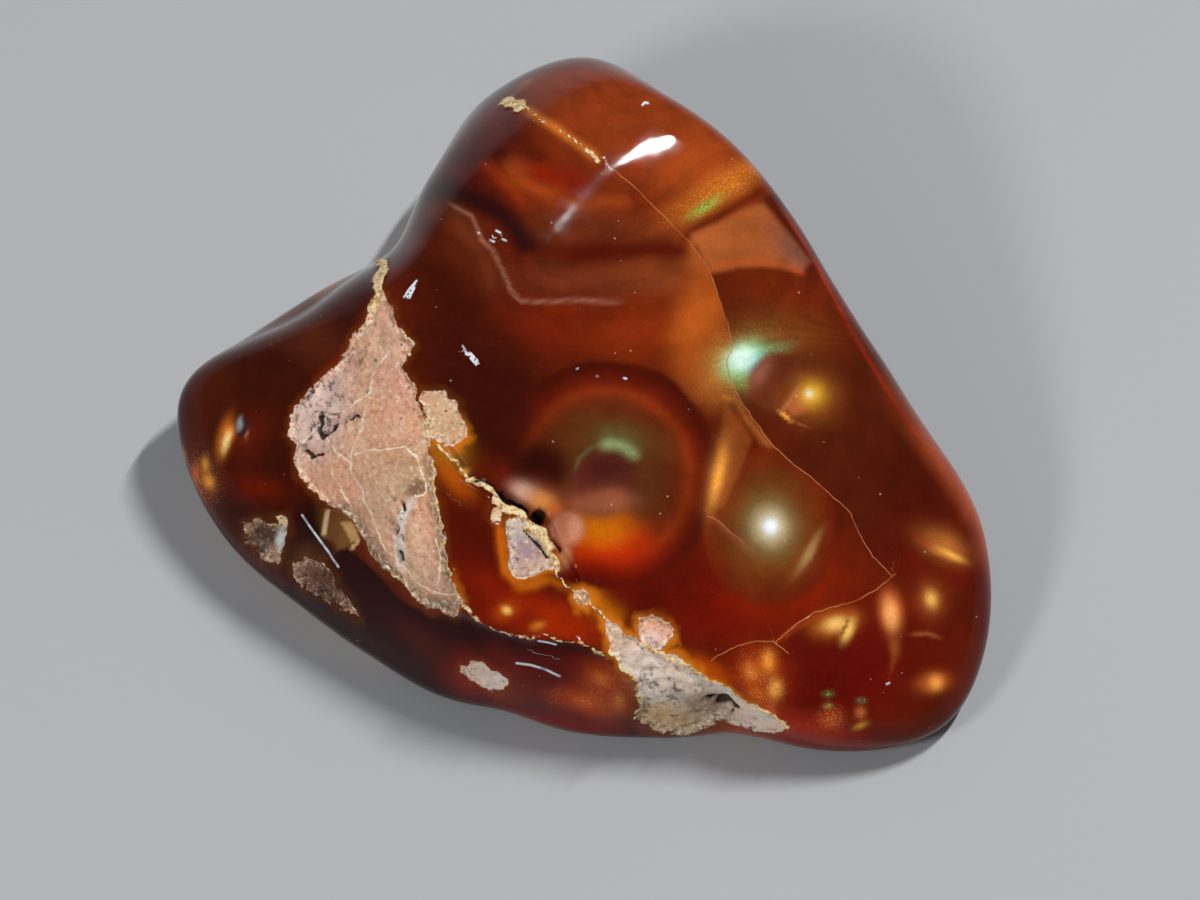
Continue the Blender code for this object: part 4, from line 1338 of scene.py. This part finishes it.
def stone_material():
    material = bpy.data.materials.new("polished_fire_agate")
    graph = Graph(material)
    agate, crack = agate_nodes(graph)
    grain = graph.noise(0.22, 4, 0.65)

    # How deep inside the rock and the cream veins each point is, with torn edges.
    pitting = graph.attribute("pitting")
    ragged = graph.shake(0.28, 0.28, 4, 0.6)
    torn = graph.times(ragged, graph.fit(pitting, 0.5, 1.0, 1.0, 2.6))
    rock_way = graph.plus(graph.attribute("rock_depth"), torn)
    rock_mask = graph.fit(rock_way, -0.015, 0.025)
    vein = graph.fit(graph.plus(graph.attribute("vein_depth"), ragged), -0.01, 0.03)

    # Amber light where the agate meets the rock, then the rock, the veins and the open gaps.
    amber = graph.times(graph.fit(rock_way, -0.40, -0.02), graph.attribute("amber"))
    agate = graph.mix(amber, agate, rgb(214, 120, 24))
    pale = graph.fit(pitting, 1.0, 0.5, 0.3, 1.0)
    base = graph.mix(rock_mask, agate, rock_nodes(graph, rock_way, grain, pale))
    vein_colour = graph.mix(graph.fit(grain, 0.35, 0.58), rgb(188, 132, 66), rgb(255, 232, 182))
    base = graph.mix(vein, base, vein_colour)
    gap = graph.fit(graph.plus(graph.attribute("gap_depth"), graph.times(ragged, 0.25)), -0.02, 0.02)
    base = graph.mix(graph.times(gap, 0.9), base, rgb(26, 14, 10))

    # The polish is a little smeared, and the rock and the veins are rough.
    rough_part = graph.compute("MAXIMUM", rock_mask, vein)
    smear = graph.fit(graph.noise(0.8, 4), 0.3, 0.75, 0.03, 0.07)
    rough = graph.node("ShaderNodeMix", {0: rough_part, 2: smear, 3: ROCK_DULLNESS}, data_type="FLOAT")

    # Bump: grain on the rock, next to nothing on the polish.
    rock_bump = graph.times(graph.noise(0.30, 6, 0.7), rough_part)
    polish_bump = graph.times(graph.noise(1.4, 2), 0.012)
    height = graph.compute("SUBTRACT", graph.plus(rock_bump, polish_bump), graph.times(crack, 0.04))
    bump = graph.node("ShaderNodeBump", {"Strength": 0.8, "Distance": BUMP_HEIGHT * MM, "Height": height})

    inputs = {
        "Base Color": base,
        "Roughness": rough.outputs[0],
        "Normal": bump.outputs[0],
        "IOR": 1.54,
        "Specular IOR Level": 0.08,
        "Subsurface Weight": 0.35,
        "Subsurface Radius": (1.0, 0.28, 0.10),
        "Subsurface Scale": 0.5 * MM,
    }
    for name, value in inputs.items():
        graph.set(graph.shader.inputs[name], value)
    return material


def floor_material():
    material = bpy.data.materials.new("pale_floor")
    material.use_nodes = True
    shader = material.node_tree.nodes["Principled BSDF"]
    shader.inputs["Base Color"].default_value = rgb(178, 180, 183)
    shader.inputs["Roughness"].default_value = 0.8
    return material


def add_floor():
    mesh = bpy.data.meshes.new("floor")
    near, far = -FLOOR_HALF_SIZE, FLOOR_HALF_SIZE
    mesh.from_pydata([(near, near, 0), (far, near, 0), (far, far, 0), (near, far, 0)], [], [(0, 1, 2, 3)])
    floor = bpy.data.objects.new("floor", mesh)
    floor.data.materials.append(floor_material())
    bpy.context.scene.collection.objects.link(floor)


def add_strip_light(name, start, end, width, power, aim):
    """A strip of light from one azimuth and elevation to another, as seen from what it is aimed at."""
    first, last = Vector(direction(*start)), Vector(direction(*end))
    data = bpy.data.lights.new(name, "AREA")
    data.shape = "ELLIPSE"
    data.size, data.size_y = (last - first).length * LIGHT_DISTANCE, width
    data.energy = power
    lamp = bpy.data.objects.new(name, data)
    back = (first + last).normalized()
    along = (last - first).normalized()
    turn = Matrix((along, back.cross(along), back)).transposed()
    lamp.matrix_world = Matrix.Translation(aim + back * LIGHT_DISTANCE) @ turn.to_4x4()
    bpy.context.scene.collection.objects.link(lamp)


def add_lights(aim):
    add_strip_light("key", (-3, 73.3), (31, 61.5), width=0.009, power=0.62, aim=aim)
    add_strip_light("fill", (-143, 42), (-127, 42), width=0.05, power=0.30, aim=aim)
    world = bpy.data.worlds.new("studio")
    world.use_nodes = True
    background = world.node_tree.nodes["Background"]
    background.inputs["Color"].default_value = (0.9, 0.95, 1.0, 1)
    background.inputs["Strength"].default_value = 0.16
    bpy.context.scene.world = world


def add_camera(heart):
    data = bpy.data.cameras.new("camera")
    data.lens = LENS
    data.sensor_width = SENSOR
    distance = FRAME_WIDTH * LENS / SENSOR * MM
    middle = np.array(heart) - (HEART_IN_FRAME[0] * RIGHT + HEART_IN_FRAME[1] * UPWARD) * MM
    camera = bpy.data.objects.new("camera", data)
    camera.location = Vector(middle + TO_VIEWER * distance)
    camera.rotation_euler = (math.pi / 2 - VIEW_ELEVATION, 0, 0)
    data.clip_start, data.clip_end = 0.001, 10
    bpy.context.scene.collection.objects.link(camera)
    bpy.context.scene.camera = camera


def main():
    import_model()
    stone, heart = build_stone(*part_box(NODE))
    stone.data.materials.append(stone_material())
    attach(stone, "root")
    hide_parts(NODE)
    add_floor()
    add_lights(heart)
    add_camera(heart)
    bpy.context.scene.view_settings.view_transform = "Standard"


main()
